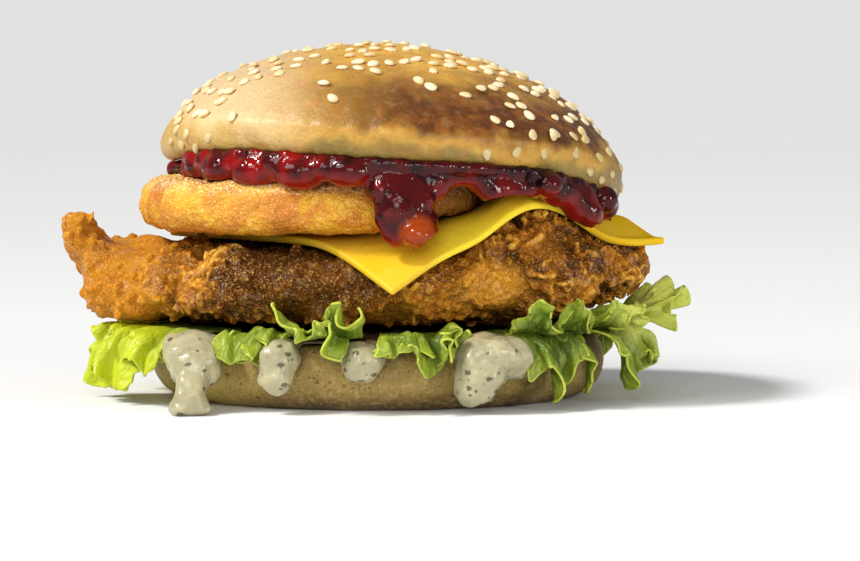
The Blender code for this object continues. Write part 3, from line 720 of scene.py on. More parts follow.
def crown_wrinkles(point):
    """Height of the skin's wrinkles, in millimetres: creases down the side, deepest at the front left."""
    angle = math.atan2(point.y, point.x - CROWN_CENTRE_X)
    side = unit((82.0 - point.z) / 8.0) * unit((point.z - 56.0) / 8.0)
    front = math.exp(-(((math.degrees(angle) + 112.0) / 42.0) ** 2))
    way = Vector((angle * 9.0, point.z / 15.0, 3.0))
    crease = abs(noise.noise(way)) + 0.5 * abs(noise.noise(way * 2.3))
    return (0.4 + 1.3 * front) * side * (1.2 * min(crease, 0.4) - 0.35)


class BURGER_OT_crown(bpy.types.Operator):
    """Builds the upper bun"""

    bl_idname = "burger.crown"
    bl_label = "Upper bun"

    def execute(self, context):
        crown = turned("upper_bun", crown_profile(), CROWN_STEPS, crown_point)
        apply_modifier(crown, "SUBSURF", levels=1, render_levels=1)
        smoothed(crown, 14)

        def dimples(point, normal):
            low = unit((point.z - 50) / 10)
            return point + normal * (0.4 * bumps(point, 9.0, 4.0) * low + crown_wrinkles(point))

        reshape(crown, dimples)
        finished(crown, crust_finish(), "golden_crust", "bun_crown")
        return {"FINISHED"}


class BURGER_OT_seeds(bpy.types.Operator):
    """Strews the sesame seeds over the upper bun"""

    bl_idname = "burger.seeds"
    bl_label = "Sesame seeds"

    def execute(self, context):
        points, faces = template("uv_sphere", segments=12, ring_count=8, radius=0.5)
        points = [
            Vector((p.x, p.y * (SEED_WIDTH - SEED_TAPER * p.x), p.z * SEED_THICKNESS)) for p in points
        ]
        draw = random.Random(31)
        matrices = []
        for turn, height in LOW_SEEDS:
            angle = math.radians(turn)
            inward = 1.0 - math.sqrt(1.0 - max(1.0 - height / CROWN_WIDEST, 0.0) ** 2)
            radius = CROWN_RADIUS - CROWN_TUCK * inward
            normal = Vector((math.cos(angle), math.sin(angle), 0.1 * (height - 4.0)))
            point = (crown_point(angle, radius, height) - normal * 0.15) * MM
            matrices.append(placed(point, normal, draw.uniform(0, 6.3), (sizes().seed_length * 0.95,) * 3))
        for angle, radius in seed_places():
            here, normal = crown_normal(angle, radius)
            here += normal * crown_wrinkles(here)
            long = sizes().seed_length * draw.uniform(0.84, 1.08)
            tilt = Vector((draw.uniform(-0.16, 0.16), draw.uniform(-0.16, 0.16), 0.0))
            here += normal * 0.35
            matrices.append(placed(here * MM, normal + tilt, draw.uniform(0, 2 * math.pi), (long,) * 3))
        seeds = scattered("sesame_seeds", (points, faces), matrices)
        finished(seeds, seed_finish(), "golden_crust", "bun_crown")
        return {"FINISHED"}


# The fruit relish

# How many lumps are strewn over it, and how far out the other layers stop hiding it
RELISH_LUMPS = 260
RELISH_HIDDEN = 46.0
# The small lumps along its rim: how many, the first one's turn in degrees, and the turn to the next
RIM_LUMPS = 64
RIM_START = 206.0
RIM_STEP = 2.1
# The large lumps along its front rim: turn in degrees, size
RELISH_FRONT = [
    (210, 3.0), (214.5, 3.2), (220.5, 4.7), (227, 3.8), (233.5, 5.1), (240.5, 4.0), (247, 4.9),
    (253.5, 3.8), (259.5, 4.5),
]
# The round ends of its runs: x, y, z, width, height; and where its front drop glows
RELISH_BULBS = [(10.6, -57.6, 42.2, 4.3, 3.3), (41.5, -42.5, 53.6, 3.4, 3.2), (56.0, -21.5, 49.2, 3.0, 3.4)]
DROP_PLACE = (10.6, -58.5, 42.0)


def relish_finish():
    c = colours()
    made = Finish(
        "relish", roughness=0.08, ior=1.45, specular_ior_level=0.32, subsurface_weight=0.06,
        subsurface_scale=0.002, subsurface_radius=(1.0, 0.1, 0.05),
    )
    lumps = made.patches(5.0, 0.42, 0.62, 1.5, 0.4)
    made.base = made.mix(lumps, c.relish, srgb(34, 4, 7))
    glow = made.patches(7.0, 0.56, 0.7, 1.0)
    made.lay(glow, srgb(118, 14, 10), 0.6)
    # Painted light: patches of brighter red on the left of the relish, the side the light falls on.
    left = made.times(made.axis(0, -4.0, -20.0), made.patches(6.0, 0.4, 0.6, 1.0))
    made.lay(left, srgb(150, 8, 5), 0.7)
    rim = made.times(made.stored("rim"), 0.7)
    made.lay(rim, srgb(150, 26, 14))
    away = made.vector("DISTANCE", made.place, DROP_PLACE, "Value")
    made.lay(made.ranged(away, 6.2, 3.4), c.relish_thin)
    seeds = made.flecks(2.6, 0.12, 0.3)
    made.lay(seeds, srgb(170, 60, 20), 0.25)
    made.bump(made.patches(3.2, 0.3, 0.7, 2.0, 0.5), 0.16)
    return made.done(made.between(lumps, 0.05, 0.14))


def clear_of(trees, point, reach):
    """True where the point is outside all the neighbours and at least reach away, in metres."""
    for tree, _, _ in trees:
        found, normal, _, distance = tree.find_nearest(point)
        if distance < reach or (point - found).dot(normal) < 0:
            return False
    return True


class BURGER_OT_relish(bpy.types.Operator):
    """Builds the fruit relish with its round lumps and its runs over the cheese"""

    bl_idname = "burger.relish"
    bl_label = "Fruit relish"

    def execute(self, context):
        relish = node_copy("fruit_relish", "fruit_relish_layer")
        voxel(relish, 0.9 * MM)
        smoothed(relish, 5)
        draw = random.Random(5)
        near = skin_of(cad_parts["hash_brown"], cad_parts["cheese_slice"])

        def outside(point, normal):
            return 1.0 if from_crown(point) > RELISH_HIDDEN and abs(normal.z) < 0.8 else 0.0

        matrices = []
        for point, normal in random_places(relish, RELISH_LUMPS, draw, outside):
            left = point.x < -6.0 * MM
            if point.x > 4.0 * MM and draw.random() < 0.8:
                continue
            size = sizes().relish_lump * draw.uniform(0.35, 1.0) ** (1.1 if left else 2.2)
            centre = point - normal * size * 0.4
            if clear_of(near, centre, size * 0.75):
                scale = [size * draw.uniform(*limits) for limits in ((0.9, 1.25), (0.9, 1.25), (0.8, 1.0))]
                matrices.append(placed(centre, normal, draw.uniform(0, 6.3), scale))
        for turn, size in RELISH_FRONT:
            angle = math.radians(turn)
            x, y = round_crown(angle, 53.8)
            centre = Vector((x, y, crown_seat(x) - size * draw.uniform(0.7, 0.95))) * MM
            scale = (size * 1.35 * MM, size * MM, size * draw.uniform(0.85, 1.05) * MM)
            spin = angle + math.pi / 2 + draw.uniform(-0.4, 0.4)
            matrices.append(placed(centre, Vector((0, 0, 1)), spin, scale))
        for k in range(RIM_LUMPS):
            angle, size = math.radians(RIM_START + RIM_STEP * k), draw.uniform(1.5, 2.3)
            x, y = round_crown(angle, 54.0)
            matrices.append(upright(x, y, crown_seat(x) - 0.7, size * 1.3, size))
        matrices += [upright(*bulb) for bulb in RELISH_BULBS]
        lumps = scattered("lumps", template("ico_sphere", subdivisions=3, radius=1.0), matrices)
        joined(relish, lumps)
        voxel(relish, 0.55 * MM)
        smoothed(relish, 7)
        push_out(relish, near[:1], 0.1, 3.0)
        reshape(relish, self.below_crown)
        point_values(relish, "rim", self.rim)
        finished(relish, relish_finish(), "fruit_relish", "fruit_relish")
        return {"FINISHED"}

    @staticmethod
    def below_crown(point, normal):
        """Keeps the relish under the upper bun, whose underside curves up to its rim."""
        out = (from_crown(point) - CROWN_RADIUS + CROWN_TUCK) / CROWN_TUCK
        if out < 1.0:
            rise = CROWN_WIDEST * (1.0 - math.sqrt(1.0 - max(out, 0.0) ** 2))
            point.z = min(point.z, crown_seat(point.x, rise) + rise - 0.2)
        if point.y < -20.0:
            bend = 0.022 if point.x < 34.0 else 0.06
            point.z = max(point.z, 51.3 - bend * (point.x - 34.0) ** 2)
        return point

    @staticmethod
    def rim(point, normal):
        """Where the relish ends in a thin edge that light comes through."""
        under = max(0.0, -normal.z)
        return min(1.0, under * 1.2) * (1.0 if point.z < crown_seat(point.x) - 3.5 else 0.0)


# The cheese slice


def cheese_finish():
    c = colours()
    made = Finish(
        "cheese", subsurface_weight=0.2, subsurface_scale=0.003, subsurface_radius=(1.0, 0.7, 0.2),
    )
    soft = made.patches(16.0, 0.3, 0.7, 2.0)
    made.base = made.mix(soft, c.cheese, srgb(236, 186, 30))
    warm = made.patches(5.0, 0.5, 0.8, 3.0)
    made.lay(warm, srgb(250, 212, 84), 0.25)
    # Painted light: the slice from the middle to the right flap, which lies in the shadow of the bun and the
    # hash brown, is made brighter as if lit.
    crest = made.times(made.axis(0, 8.0, 20.0), made.axis(0, 54.0, 44.0))
    made.lay(crest, srgb(255, 226, 56), 0.9)
    made.shade("Specular IOR Level", made.times(made.axis(0, 48.0, 42.0), 0.22))
    made.bump(made.patches(6.0, 0.3, 0.7, 2.0), 0.12)
    made.bump(made.patches(0.7, 0.3, 0.7, 2.0), 0.02)
    return made.done(made.between(made.patches(4.0, 0.3, 0.7, 3.0), 0.26, 0.42))


class BURGER_OT_cheese(bpy.types.Operator):
    """Builds the softened slice of cheese"""

    bl_idname = "burger.cheese"
    bl_label = "Cheese slice"

    def execute(self, context):
        cheese = node_copy("cheese_slice", "soft_cheese")
        into_quads(cheese)
        corner = math.radians(50)
        apply_modifier(cheese, "BEVEL", width=0.75 * MM, segments=3, limit_method="ANGLE", angle_limit=corner)
        apply_modifier(cheese, "SUBSURF", levels=2, render_levels=2)
        reshape(cheese, self.raised_corner)
        finished(cheese, cheese_finish(), "cheese", "cheese_slice")
        return {"FINISHED"}

    @staticmethod
    def raised_corner(point, normal):
        """Tilts the right corner and the crest beside it, so that they face the front."""
        out = unit((point.x - 46.0) / 12.0)
        back = point.y - (point.x - 73.0)
        point.z += (min(0.3 * max(back, 0.0), 4.6) - 0.8) * out * out * (3 - 2 * out)
        point.z += min(0.35 * max(back, 0.0), 3.4) * math.exp(-(((point.x - 35.0) / 8.5) ** 2))
        return point


# The hash brown


def potato_finish():
    c = colours()
    made = Finish(
        "potato_crumb", roughness=0.5, specular_ior_level=0.45, subsurface_weight=0.08,
        subsurface_scale=0.002, subsurface_radius=(1.0, 0.6, 0.2),
    )
    broad = made.patches(13.0, 0.42, 0.6, 2.0, 0.6)
    made.base = made.mix(broad, c.potato, srgb(234, 178, 32))
    rich = made.patches(6.0, 0.46, 0.7, 3.0, 0.8)
    made.lay(rich, srgb(204, 108, 16), 0.6)
    low = made.times(made.axis(2, 44.0, 40.5), 0.25)
    made.lay(low, srgb(190, 104, 22))
    # Painted shade: the right end of the hash brown, which lies in shadow, is made dark brown.
    made.lay(made.axis(0, 2.0, 13.0), srgb(90, 42, 8), 0.85)
    # Painted light and shade: the raised grains are made lighter and the hollows between them darker.
    raised = made.stored("fine")
    made.lay(made.ranged(raised, 0.55, 0.95, 0.0, 0.5), srgb(250, 206, 110))
    made.lay(made.ranged(raised, 0.45, 0.1, 0.0, 0.5), srgb(170, 84, 10))
    crumbs = made.patches(0.55, 0.5, 0.75, 1.0)
    made.lay(crumbs, srgb(252, 222, 150), 0.35)
    toast = made.times(made.patches(0.8, 0.5, 0.7, 2.0), made.axis(2, 52.0, 44.0))
    made.lay(toast, srgb(160, 80, 14), 0.6)
    coarse, small = made.crumbs(1.1), made.crumbs(0.6)
    both = made.math("ADD", made.times(coarse, 0.5), made.times(small, 0.5))
    # Painted shade in the seams between the grains and painted light on their tops.
    made.lay(made.ranged(both, 0.5, 0.15, 0.0, 0.3), srgb(190, 100, 12))
    made.lay(made.ranged(both, 0.66, 0.95, 0.0, 0.35), srgb(252, 208, 104))
    # Painted glints: pale specks along the top edge, where the lit crumbs sparkle.
    top = made.times(made.axis(2, 50.5, 54.5), made.patches(0.6, 0.48, 0.6, 1.0))
    made.lay(top, srgb(255, 234, 186), 0.85)
    made.bump(coarse, 0.14)
    made.bump(small, 0.14)
    return made.done(made.between(made.patches(1.5, 0.3, 0.7), 0.36, 0.6))


class BURGER_OT_hash_brown(bpy.types.Operator):
    """Builds the crumbed hash brown"""

    bl_idname = "burger.hash_brown"
    bl_label = "Hash brown"

    def execute(self, context):
        patty = node_copy("hash_brown", "crumbed_hash_brown")
        voxel(patty, 1.4 * MM)
        smoothed(patty, 6)
        voxel(patty, sizes().potato_voxel)
        smoothed(patty, 2)

        def crumb(point, normal):
            relief = 0.3 * crags(point, 1.8) + 0.3 * crags(point, 1.05, 7.0)
            relief += 0.9 * bumps(point, 11.0) + 0.5 * bumps(point, 4.6) + 0.35 * bumps(point, 2.0, 3.0)
            return point + normal * (relief - 0.1)

        reshape(patty, crumb)
        push_out(patty, skin_of(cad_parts["cheese_slice"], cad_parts["fruit_relish"]), 0.1)
        fine_relief(patty, 6, 0.7)
        finished(patty, potato_finish(), "potato_crust", "hash_brown")
        return {"FINISHED"}


# The fried chicken


def fried_finish():
    c = colours()
    made = Finish(
        "fried_coating", subsurface_weight=0.05, subsurface_scale=0.002,
        subsurface_radius=(1.0, 0.5, 0.15),
    )
    # Painted shade and light: the crust is coloured by its height, near black in the deepest hollows and
    # light on the raised tips.
    height = made.stored("crag")
    wander = made.between(made.patches(1.6, 0.2, 0.8, 3.0), -0.12, 0.12)
    height = made.math("ADD", height, wander)
    height = made.math("ADD", height, made.ranged(made.stored("fine"), 0.15, 0.85, -0.44, 0.42))
    made.base = made.ramp(
        height,
        (0.0, srgb(28, 10, 2)),
        (0.24, c.fried_hollow_shade),
        (0.44, srgb(124, 70, 9)),
        (0.68, srgb(178, 114, 18)),
        (0.98, c.fried_tip_and_light),
    )
    plain = made.stored("plain")
    gold = made.patches(11.0, 0.42, 0.62, 2.0, 0.5)
    made.lay(gold, srgb(206, 128, 26), 0.45)
    fillet = made.mix(made.patches(5.0, 0.35, 0.65, 3.0), srgb(214, 146, 28), srgb(184, 108, 14))
    made.lay(plain, fillet, 0.7)
    dusk = made.times(made.patches(8.0, 0.5, 0.64, 2.0, 0.8, place=made.stretched(1.0, 1.0, 1.4)), 0.35)
    made.lay(dusk, srgb(108, 54, 8))
    left = made.axis(0, -40.0, -58.0)
    made.lay(left, srgb(216, 138, 30), 0.35)
    # Painted shadow: the crust below the hash brown is made dark, where the hash brown shades it.
    hash_shadow = made.times(made.axis(0, -42.0, -30.0), made.axis(0, 10.0, -4.0))
    made.lay(made.times(made.axis(2, 18.0, 28.0), hash_shadow), srgb(60, 27, 4), 0.85)
    # Painted light: a bright golden patch on the right of the crust.
    away = made.vector("DISTANCE", made.stretched(0.7, 0.0, 1.0), PAINTED_LIGHT_PATCH, "Value")
    made.lay(made.ranged(away, 8.0, 3.0), srgb(244, 172, 52), 0.6)
    grain = made.patches(0.5, 0.45, 0.8, 2.0)
    made.lay(grain, srgb(250, 200, 116), 0.45)
    pepper = made.flecks(2.4, 0.12, 0.4)
    made.lay(pepper, srgb(30, 16, 8), 0.8)
    coarse, small = made.crumbs(1.5), made.crumbs(0.7)
    both = made.math("ADD", made.times(coarse, 0.6), made.times(small, 0.4))
    # Painted shade in the seams between the crumbs, less on the smooth fillet, and painted light on the
    # crumbs' tops.
    ragged = made.ranged(plain, 0.2, 0.9, 1.0, 0.35)
    made.lay(made.times(made.ranged(both, 0.5, 0.15, 0.0, 0.35), ragged), srgb(92, 42, 6))
    made.lay(made.ranged(both, 0.66, 0.95, 0.0, 0.5), srgb(244, 180, 72))
    made.bump(made.times(coarse, ragged), 0.3)
    made.bump(small, 0.12)
    made.bump(made.patches(0.9, 0.25, 0.75, 4.0, 0.6), 0.12)
    wet = made.patches(4.0, 0.48, 0.62, 3.0)
    made.shade("Specular IOR Level", made.between(wet, 0.04, 0.36))
    return made.done(made.between(wet, 0.52, 0.24))


# Middle of the painted patch of light on the crust, with x scaled by 0.7 and y left out.
PAINTED_LIGHT_PATCH = (19.6, 0.0, 29.5)
# Lumps at the left tip: x, y, z, width, height
KNOBS = [(-73.6, -9.5, 42.8, 3.3, 3.3), (-76.0, -6.0, 41.8, 2.9, 2.9), (-71.8, -6.0, 42.0, 2.6, 2.6)]
CRUST_LUMPS = 620
CRUST_CRUMBS = 5200
CRUST_FLAKES = 420
CRAG_DEPTH = 4.2


def plain_share(point):
    """How smooth the coating lies: 1 on the bare fillet at the left tip and low at the front, else 0."""
    tip = unit((-49.0 - point.x) / 6.0)
    low = math.exp(-(((point.x - 4.0) / 22.0) ** 2) - ((point.z - 22.0 - 0.16 * point.x) / 7.5) ** 2)
    front = 1.0 if point.y < 0 else 0.3
    return min(1.0, 0.9 * tip + low * front)


class BURGER_OT_chicken(bpy.types.Operator):
    """Builds the fried chicken with its craggy crust"""

    bl_idname = "burger.chicken"
    bl_label = "Fried chicken"

    def execute(self, context):
        fillet = node_copy("chicken", "fried_chicken")
        voxel(fillet, 1.2 * MM)
        smoothed(fillet, 8)
        reshape(fillet, lambda point, normal: point - normal * (1.0 - 0.9 * plain_share(point)))
        core = skin_of(fillet)[0][0]
        draw = random.Random(11)

        def ragged(point, normal):
            rough = min(max(0.5 + 1.8 * bumps(point, 12.0, 2.0), 0.06), 1.0)
            rough *= 1.0 - 0.88 * plain_share(point)
            return rough * (0.12 if abs(normal.z) > 0.85 else 1.0)

        places = random_places(fillet, CRUST_LUMPS, draw, ragged)
        matrices = strewn(
            draw, places, lambda: sizes().crust_lump * (0.3 + 0.7 * draw.random() ** 2.6),
            ((0.65, 1.3), (0.65, 1.3), (0.55, 0.95)), 0.5, (-0.1, -0.5),
        )
        matrices += [upright(*knob) for knob in KNOBS]
        joined(fillet, scattered("lumps", template("ico_sphere", subdivisions=2, radius=1.0), matrices))
        voxel(fillet, 1.0 * MM)
        smoothed(fillet, 1)
        places = random_places(fillet, CRUST_CRUMBS, draw, ragged)
        matrices = strewn(
            draw, places, lambda: (0.55 + 1.15 * draw.random() ** 2.2) * MM,
            ((0.7, 1.3), (0.7, 1.3), (0.6, 1.0)), 0.6, (-0.2, 0.45),
        )
        places = random_places(fillet, CRUST_FLAKES, draw, ragged)
        matrices += strewn(
            draw, places, lambda: draw.uniform(1.4, 3.0) * MM,
            ((0.9, 1.3), (0.5, 0.8), (0.22, 0.36)), 1.2, 0.2,
        )
        joined(fillet, scattered("crumbs", template("ico_sphere", subdivisions=1, radius=1.0), matrices))
        voxel(fillet, sizes().crust_voxel)
        without_specks(fillet)

        def crust(point, normal):
            relief = 0.34 * crags(point, 2.1) + 0.3 * crags(point, 1.15, 5.0)
            return point + normal * relief * (1.0 - 0.7 * plain_share(point))

        reshape(fillet, crust)
        push_out(fillet, skin_of(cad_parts["cheese_slice"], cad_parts["hash_brown"]), 0.12)
        leaves = [solid for name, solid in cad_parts.items() if name.startswith("leaf")]
        push_out(fillet, skin_of(*leaves), 0.12, 0.5)

        def crag(point, normal):
            found, way, _, _ = core.find_nearest(point * MM)
            return unit(0.08 + (point * MM - found).dot(way) / MM / CRAG_DEPTH)

        point_values(fillet, "crag", crag)
        fine_relief(fillet, 14, 1.5)
        point_values(fillet, "plain", lambda point, normal: plain_share(point))
        finished(fillet, fried_finish(), "fried_crust", "chicken")
        return {"FINISHED"}


# The herb sauce


def sauce_finish():
    c = colours()
    made = Finish(
        "herb_cream", roughness=0.28, subsurface_weight=0.25, subsurface_scale=0.003,
        coat_roughness=0.15, subsurface_radius=(1.0, 0.9, 0.7),
    )
    made.base = made.mix(made.patches(6.0, 0.3, 0.7, 2.0), c.sauce, srgb(182, 174, 137))
    small = made.flecks(2.2, 0.22, 0.55)
    made.lay(small, c.herb, 0.75)
    large = made.flecks(4.4, 0.26, 0.75, place=made.stretched(1.0, 1.0, 1.6))
    made.lay(large, c.herb, 0.85)
    green = made.flecks(4.1, 0.1, 0.5)
    made.lay(green, srgb(96, 104, 52), 0.6)
    # Painted shade: the top of the sauce inside its rim, under the chicken, is made dark brown and given no
    # gloss.
    away = made.vector("LENGTH", made.stretched(1.0, 1.0, 0.0), output="Value")
    covered_shade = made.times(made.ranged(away, 57.5, 55.0), made.axis(2, 15.5, 17.0))
    made.lay(covered_shade, srgb(70, 36, 14), 0.9)
    made.shade("Specular IOR Level", made.between(covered_shade, 0.45, 0.0))
    made.shade("Coat Weight", made.between(covered_shade, 0.2, 0.0))
    made.bump(made.patches(4.0, 0.3, 0.7, 2.0), 0.2)
    made.bump(made.math("ADD", small, large), 0.08)
    return made.done(made.between(made.patches(3.0, 0.3, 0.7, 2.0), 0.16, 0.32))


class BURGER_OT_sauce(bpy.types.Operator):
    """Builds the herb sauce with its runs"""

    bl_idname = "burger.sauce"
    bl_label = "Herb sauce"

    def execute(self, context):
        sauce = node_copy("herb_sauce", "creamy_herb_sauce")
        voxel(sauce, 0.8 * MM)
        smoothed(sauce, 6)

        def lumpy(point, normal):
            free = unit((math.hypot(point.x, point.y) - 54.0) / 4.0)
            lift = 0.9 * bumps(point, 4.6, 3.0) + 0.4 * bumps(point, 2.2, 9.0) + 0.3
            moved = point + normal * lift * free
            moved.z = max(moved.z, 0.0)
            return moved

        reshape(sauce, lumpy)
        push_out(sauce, skin_of(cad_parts["bun_heel"]), 0.1)
        finished(sauce, sauce_finish(), "herb_sauce", "herb_sauce")
        return {"FINISHED"}


# The lower bun


def heel_finish():
    c = colours()
    made = Finish("heel_crumb", roughness=0.75)
    dusk = made.axis(2, 7.0, -1.0)
    made.base = made.mix(dusk, c.heel, srgb(80, 58, 26))
    made.lay(made.axis(0, -20.0, -42.0), srgb(212, 186, 92))
    made.lay(made.patches(6.0, 0.4, 0.7, 3.0), srgb(140, 112, 62), 0.4)
    pale = made.patches(1.4, 0.45, 0.7, 2.0)
    made.lay(pale, srgb(206, 180, 128), 0.35)
    grain = made.patches(0.5, 0.4, 0.7, 2.0)
    made.lay(grain, srgb(112, 84, 44), 0.35)
    pores = made.flecks(1.2, 0.26, 0.5)
    made.lay(pores, srgb(96, 70, 36), 0.5)
    holes = made.flecks(3.6, 0.2, 0.35)
    made.lay(holes, srgb(104, 78, 44), 0.55)
    made.bump(made.math("SUBTRACT", 1.0, pores), 0.25)
    made.bump(made.math("SUBTRACT", 1.0, holes), 0.3)
    made.bump(made.patches(0.7, 0.25, 0.75, 3.0), 0.12)
    return made.done(made.between(pale, 0.62, 0.82))


class BURGER_OT_heel(bpy.types.Operator):
    """Builds the lower bun"""

    bl_idname = "burger.heel"
    bl_label = "Lower bun"

    def execute(self, context):
        heel = node_copy("bun_heel", "lower_bun")
        into_quads(heel)
        apply_modifier(heel, "SUBSURF", levels=3, render_levels=3)

        def uneven(point, normal):
            side = unit((math.hypot(point.x, point.y) - 48.0) / 4.0) * unit(point.z / 2.0)
            return point + normal * (0.35 * bumps(point, 8.0) + 0.12 * bumps(point, 2.4)) * side

        reshape(heel, uneven)
        finished(heel, heel_finish(), "baked_crumb", "bun_heel")
        return {"FINISHED"}


# The lettuce

LEAF_LEVEL = 17.98
LEAF_LOWEST = 1.2
# Along a leaf, as shares of its path: where its mesh starts, how much it covers, and where its folds start
LEAF_ROOT = 0.42
LEAF_COVER = 0.58
LEAF_START = 0.59
# Where a leaf's length is measured, its points a millimetre of rim, its rows, and its gap to its neighbours
LEAF_RADIUS = 62.0
LEAF_DENSITY = 3.2
LEAF_ROWS = 54
LEAF_GAP = 1.3
# Each leaf: start and end turn in degrees, its path outwards (radius, height), tilt, frill, waves, seed,
# and how high its upper fold stands
LEAVES = {
    "leaf_left": (186, 221, [(57, 18.0), (68, 14), (71, 6)], 1.0, 4.4, 2.4, 1.0, 1.0),
    "leaf_front_left": (235.5, 246.5, [(56, 18.0), (62, 18), (66, 12.5)], -4.0, 4.2, 1.2, 2.2, 0.4),
    "leaf_front": (249.5, 264, [(56, 18.0), (62, 19.5), (66, 20.0)], -8.0, 4.4, 1.5, 0.4, 0.4),
    "leaf_front_right": (271, 288.5, [(56, 18.0), (62, 17.5), (65.5, 12.5)], -4.0, 4.2, 1.9, 3.1, 0.5),
    "leaf_right": (304, 326, [(57, 18.0), (63.5, 14), (66.5, 5.5)], 2.0, 5.2, 2.0, 5.0, 2.5),
    "leaf_far_right": (329, 350, [(58, 18.0), (66.5, 15.5), (69, 8)], 3.0, 5.4, 1.6, 0.9, 1.8),
    "leaf_far_right_high": (353, 373, [(60, 18.0), (68, 20.5), (76, 22.5)], 4.0, 4.0, 1.6, 2.6, 0.3),
    "leaf_back_right": (21, 78, [(56, 18.0), (62, 15), (65, 9)], -3.0, 4.6, 3.4, 1.7, 1.0),
    "leaf_back_left": (85, 177, [(56, 18.0), (61, 15.5), (64, 9)], 2.0, 4.6, 4.8, 4.0, 1.0),
}


def along_curve(points, x):
    """The value at x of a smooth curve through (x, value) pairs, held level past its ends."""
    if x <= points[0][0]:
        return points[0][1]
    if x >= points[-1][0]:
        return points[-1][1]
    k = next(i for i in range(1, len(points)) if x <= points[i][0])
    (x0, a), (x1, b) = points[k - 1], points[k]
    before, after = points[max(k - 2, 0)], points[min(k + 1, len(points) - 1)]
    slope_a = (b - before[1]) / (x1 - before[0])
    slope_b = (after[1] - a) / (after[0] - x0)
    width = x1 - x0
    t = (x - x0) / width
    ends = a * (1 + 2 * t) * (1 - t) ** 2 + b * t * t * (3 - 2 * t)
    return ends + width * (slope_a * t * (1 - t) ** 2 - slope_b * t * t * (1 - t))


def fold(turn):
    """A wave of -1 to 1 with flat flanks and narrow crests, like folded cloth."""
    return math.asin(0.95 * math.sin(turn)) / 1.2532


def leaf_length(leaf):
    """Length of the leaf's rim, in millimetres."""
    return math.radians(leaf[1] - leaf[0]) * LEAF_RADIUS


def leaf_point(leaf, share, along):
    """A point of a leaf's middle: share runs across it and along outwards, in millimetres."""
    start, end, path, tilt, frill, waves, seed, _ = leaf
    full = [(9.0, LEAF_LEVEL), (28.0, LEAF_LEVEL), (44.0, LEAF_LEVEL)] + path
    radii = [(k / (len(full) - 1), point[0]) for k, point in enumerate(full)]
    heights = [(k / (len(full) - 1), point[1]) for k, point in enumerate(full)]
    rim = share * leaf_length(leaf)
    taper = 0.7 + 0.3 * math.sin(math.pi * unit(share)) ** 0.5
    jag = 0.15 * noise.noise(Vector((share * 7.0 * waves / 3, seed, 0.5)))
    jag += 0.22 * noise.noise(Vector((rim / 2.6, seed, 2.5))) + 0.1 * noise.noise(Vector((rim, seed, 4.5)))
    outer = max(0.0, along - LEAF_START)
    reach = along + outer * (taper + jag - 1.0)
    radius = along_curve(radii, reach)
    height = along_curve(heights, reach)
    grow = outer / (1.0 - LEAF_START)
    turn = 2 * math.pi * waves * share + seed
    angle = math.radians(start) + math.radians(end - start) * share
    angle += 0.28 * frill * grow * math.cos(turn + 0.6) / radius
    radius += 0.5 * frill * grow * (math.sin(turn) + 0.25 * math.sin(1.6 * turn + seed))
    height += 0.75 * frill * grow * math.sin(turn + 1.0) + tilt * grow * (share - 0.5)
    return Vector((radius * math.cos(angle), radius * math.sin(angle), max(height, LEAF_LOWEST)))


def upper_fold(leaf):
    """The leaf's second fold, which stands up between the lower one and the chicken."""
    start, end, path, tilt, frill, waves, seed, stand = leaf
    steps = zip(path, (0, 1.5, 2.5), (0, 2.6, 7.0))
    raised = [(radius - inward, height + rise * stand) for (radius, height), inward, rise in steps]
    middle, half = (start + end) / 2 + 2.0, (end - start) / 2 * (1.0 + 0.12 * max(stand, 1.0))
    return (middle - half, middle + half, raised, -tilt, frill * 0.9, waves * 1.3, seed + 5.3, stand)


def ruffle(leaf, share, along):
    """How far the leaf leaves its broad waves: two sizes of folds that grow towards the rim."""
    seed = leaf[6]
    rim = share * leaf_length(leaf)
    grow = max(0.0, along - LEAF_START) / (1.0 - LEAF_START)
    sway = 2.4 * noise.noise(Vector((rim / 8.0, 2.2 * grow, seed)))
    broad = 2.1 * grow * fold(rim * 0.92 + sway + seed)
    fine = 0.95 * grow**2 * fold(rim * 2.2 + 1.6 * sway + 1.4 * grow)
    puff = 0.45 * noise.noise(Vector((rim / 2.2, grow * 4.0, seed))) * min(3.0 * grow, 1.0)
    return broad + fine + puff


def leaf_finish():
    c = colours()
    made = Finish(
        "lettuce_leaf", roughness=0.42, specular_ior_level=0.4, subsurface_weight=0.12,
        subsurface_scale=0.002, subsurface_radius=(0.6, 1.0, 0.1),
    )
    edge = made.stored("edge")
    broad = made.patches(7.0, 0.35, 0.65, 2.0)
    made.base = made.mix(broad, c.leaf, srgb(92, 116, 26))
    # Painted shade: the leaf is made darker away from its rim, in under the bun and the chicken.
    made.lay(made.ranged(edge, 0.35, 0.0, 0.0, 0.6), srgb(58, 82, 30))
    right = made.times(made.axis(0, 54.0, 64.0), made.axis(2, 10.0, 22.0))
    deeper = made.times(made.axis(0, -6.0, 26.0), made.axis(2, 23.0, 18.0))
    made.lay(deeper, srgb(72, 92, 20), 0.95)
    # Painted light: the frond at the right, which lies in the burger's shadow, is made bright yellow-green as
    # if lit through.
    made.lay(right, srgb(234, 240, 122))
    made.lay(made.ranged(edge, 0.6, 0.92, 0.0, 0.45), c.leaf_edge)
    made.lay(made.ranged(edge, 0.955, 0.985, 0.0, 0.7), srgb(200, 210, 76))
    made.shade("Specular IOR Level", made.ranged(edge, 0.0, 0.4, 0.0, 0.35))
    flat = made.add("Attribute", attribute_name="leaf_place").outputs["Vector"]
    ribs = made.vector("MULTIPLY", flat, (1.0, 0.16, 0.0))
    veins = made.patches(0.9, 0.5, 0.62, 1.0, 0.5, place=ribs)
    made.lay(veins, srgb(186, 198, 84), 0.28)
    left = made.axis(0, -44.0, -58.0)
    made.lay(left, srgb(200, 210, 30), 0.75)
    made.bump(veins, 0.12)
    made.bump(made.patches(1.0, 0.3, 0.7, 2.0), 0.1)
    return made.done(made.between(broad, 0.34, 0.5))


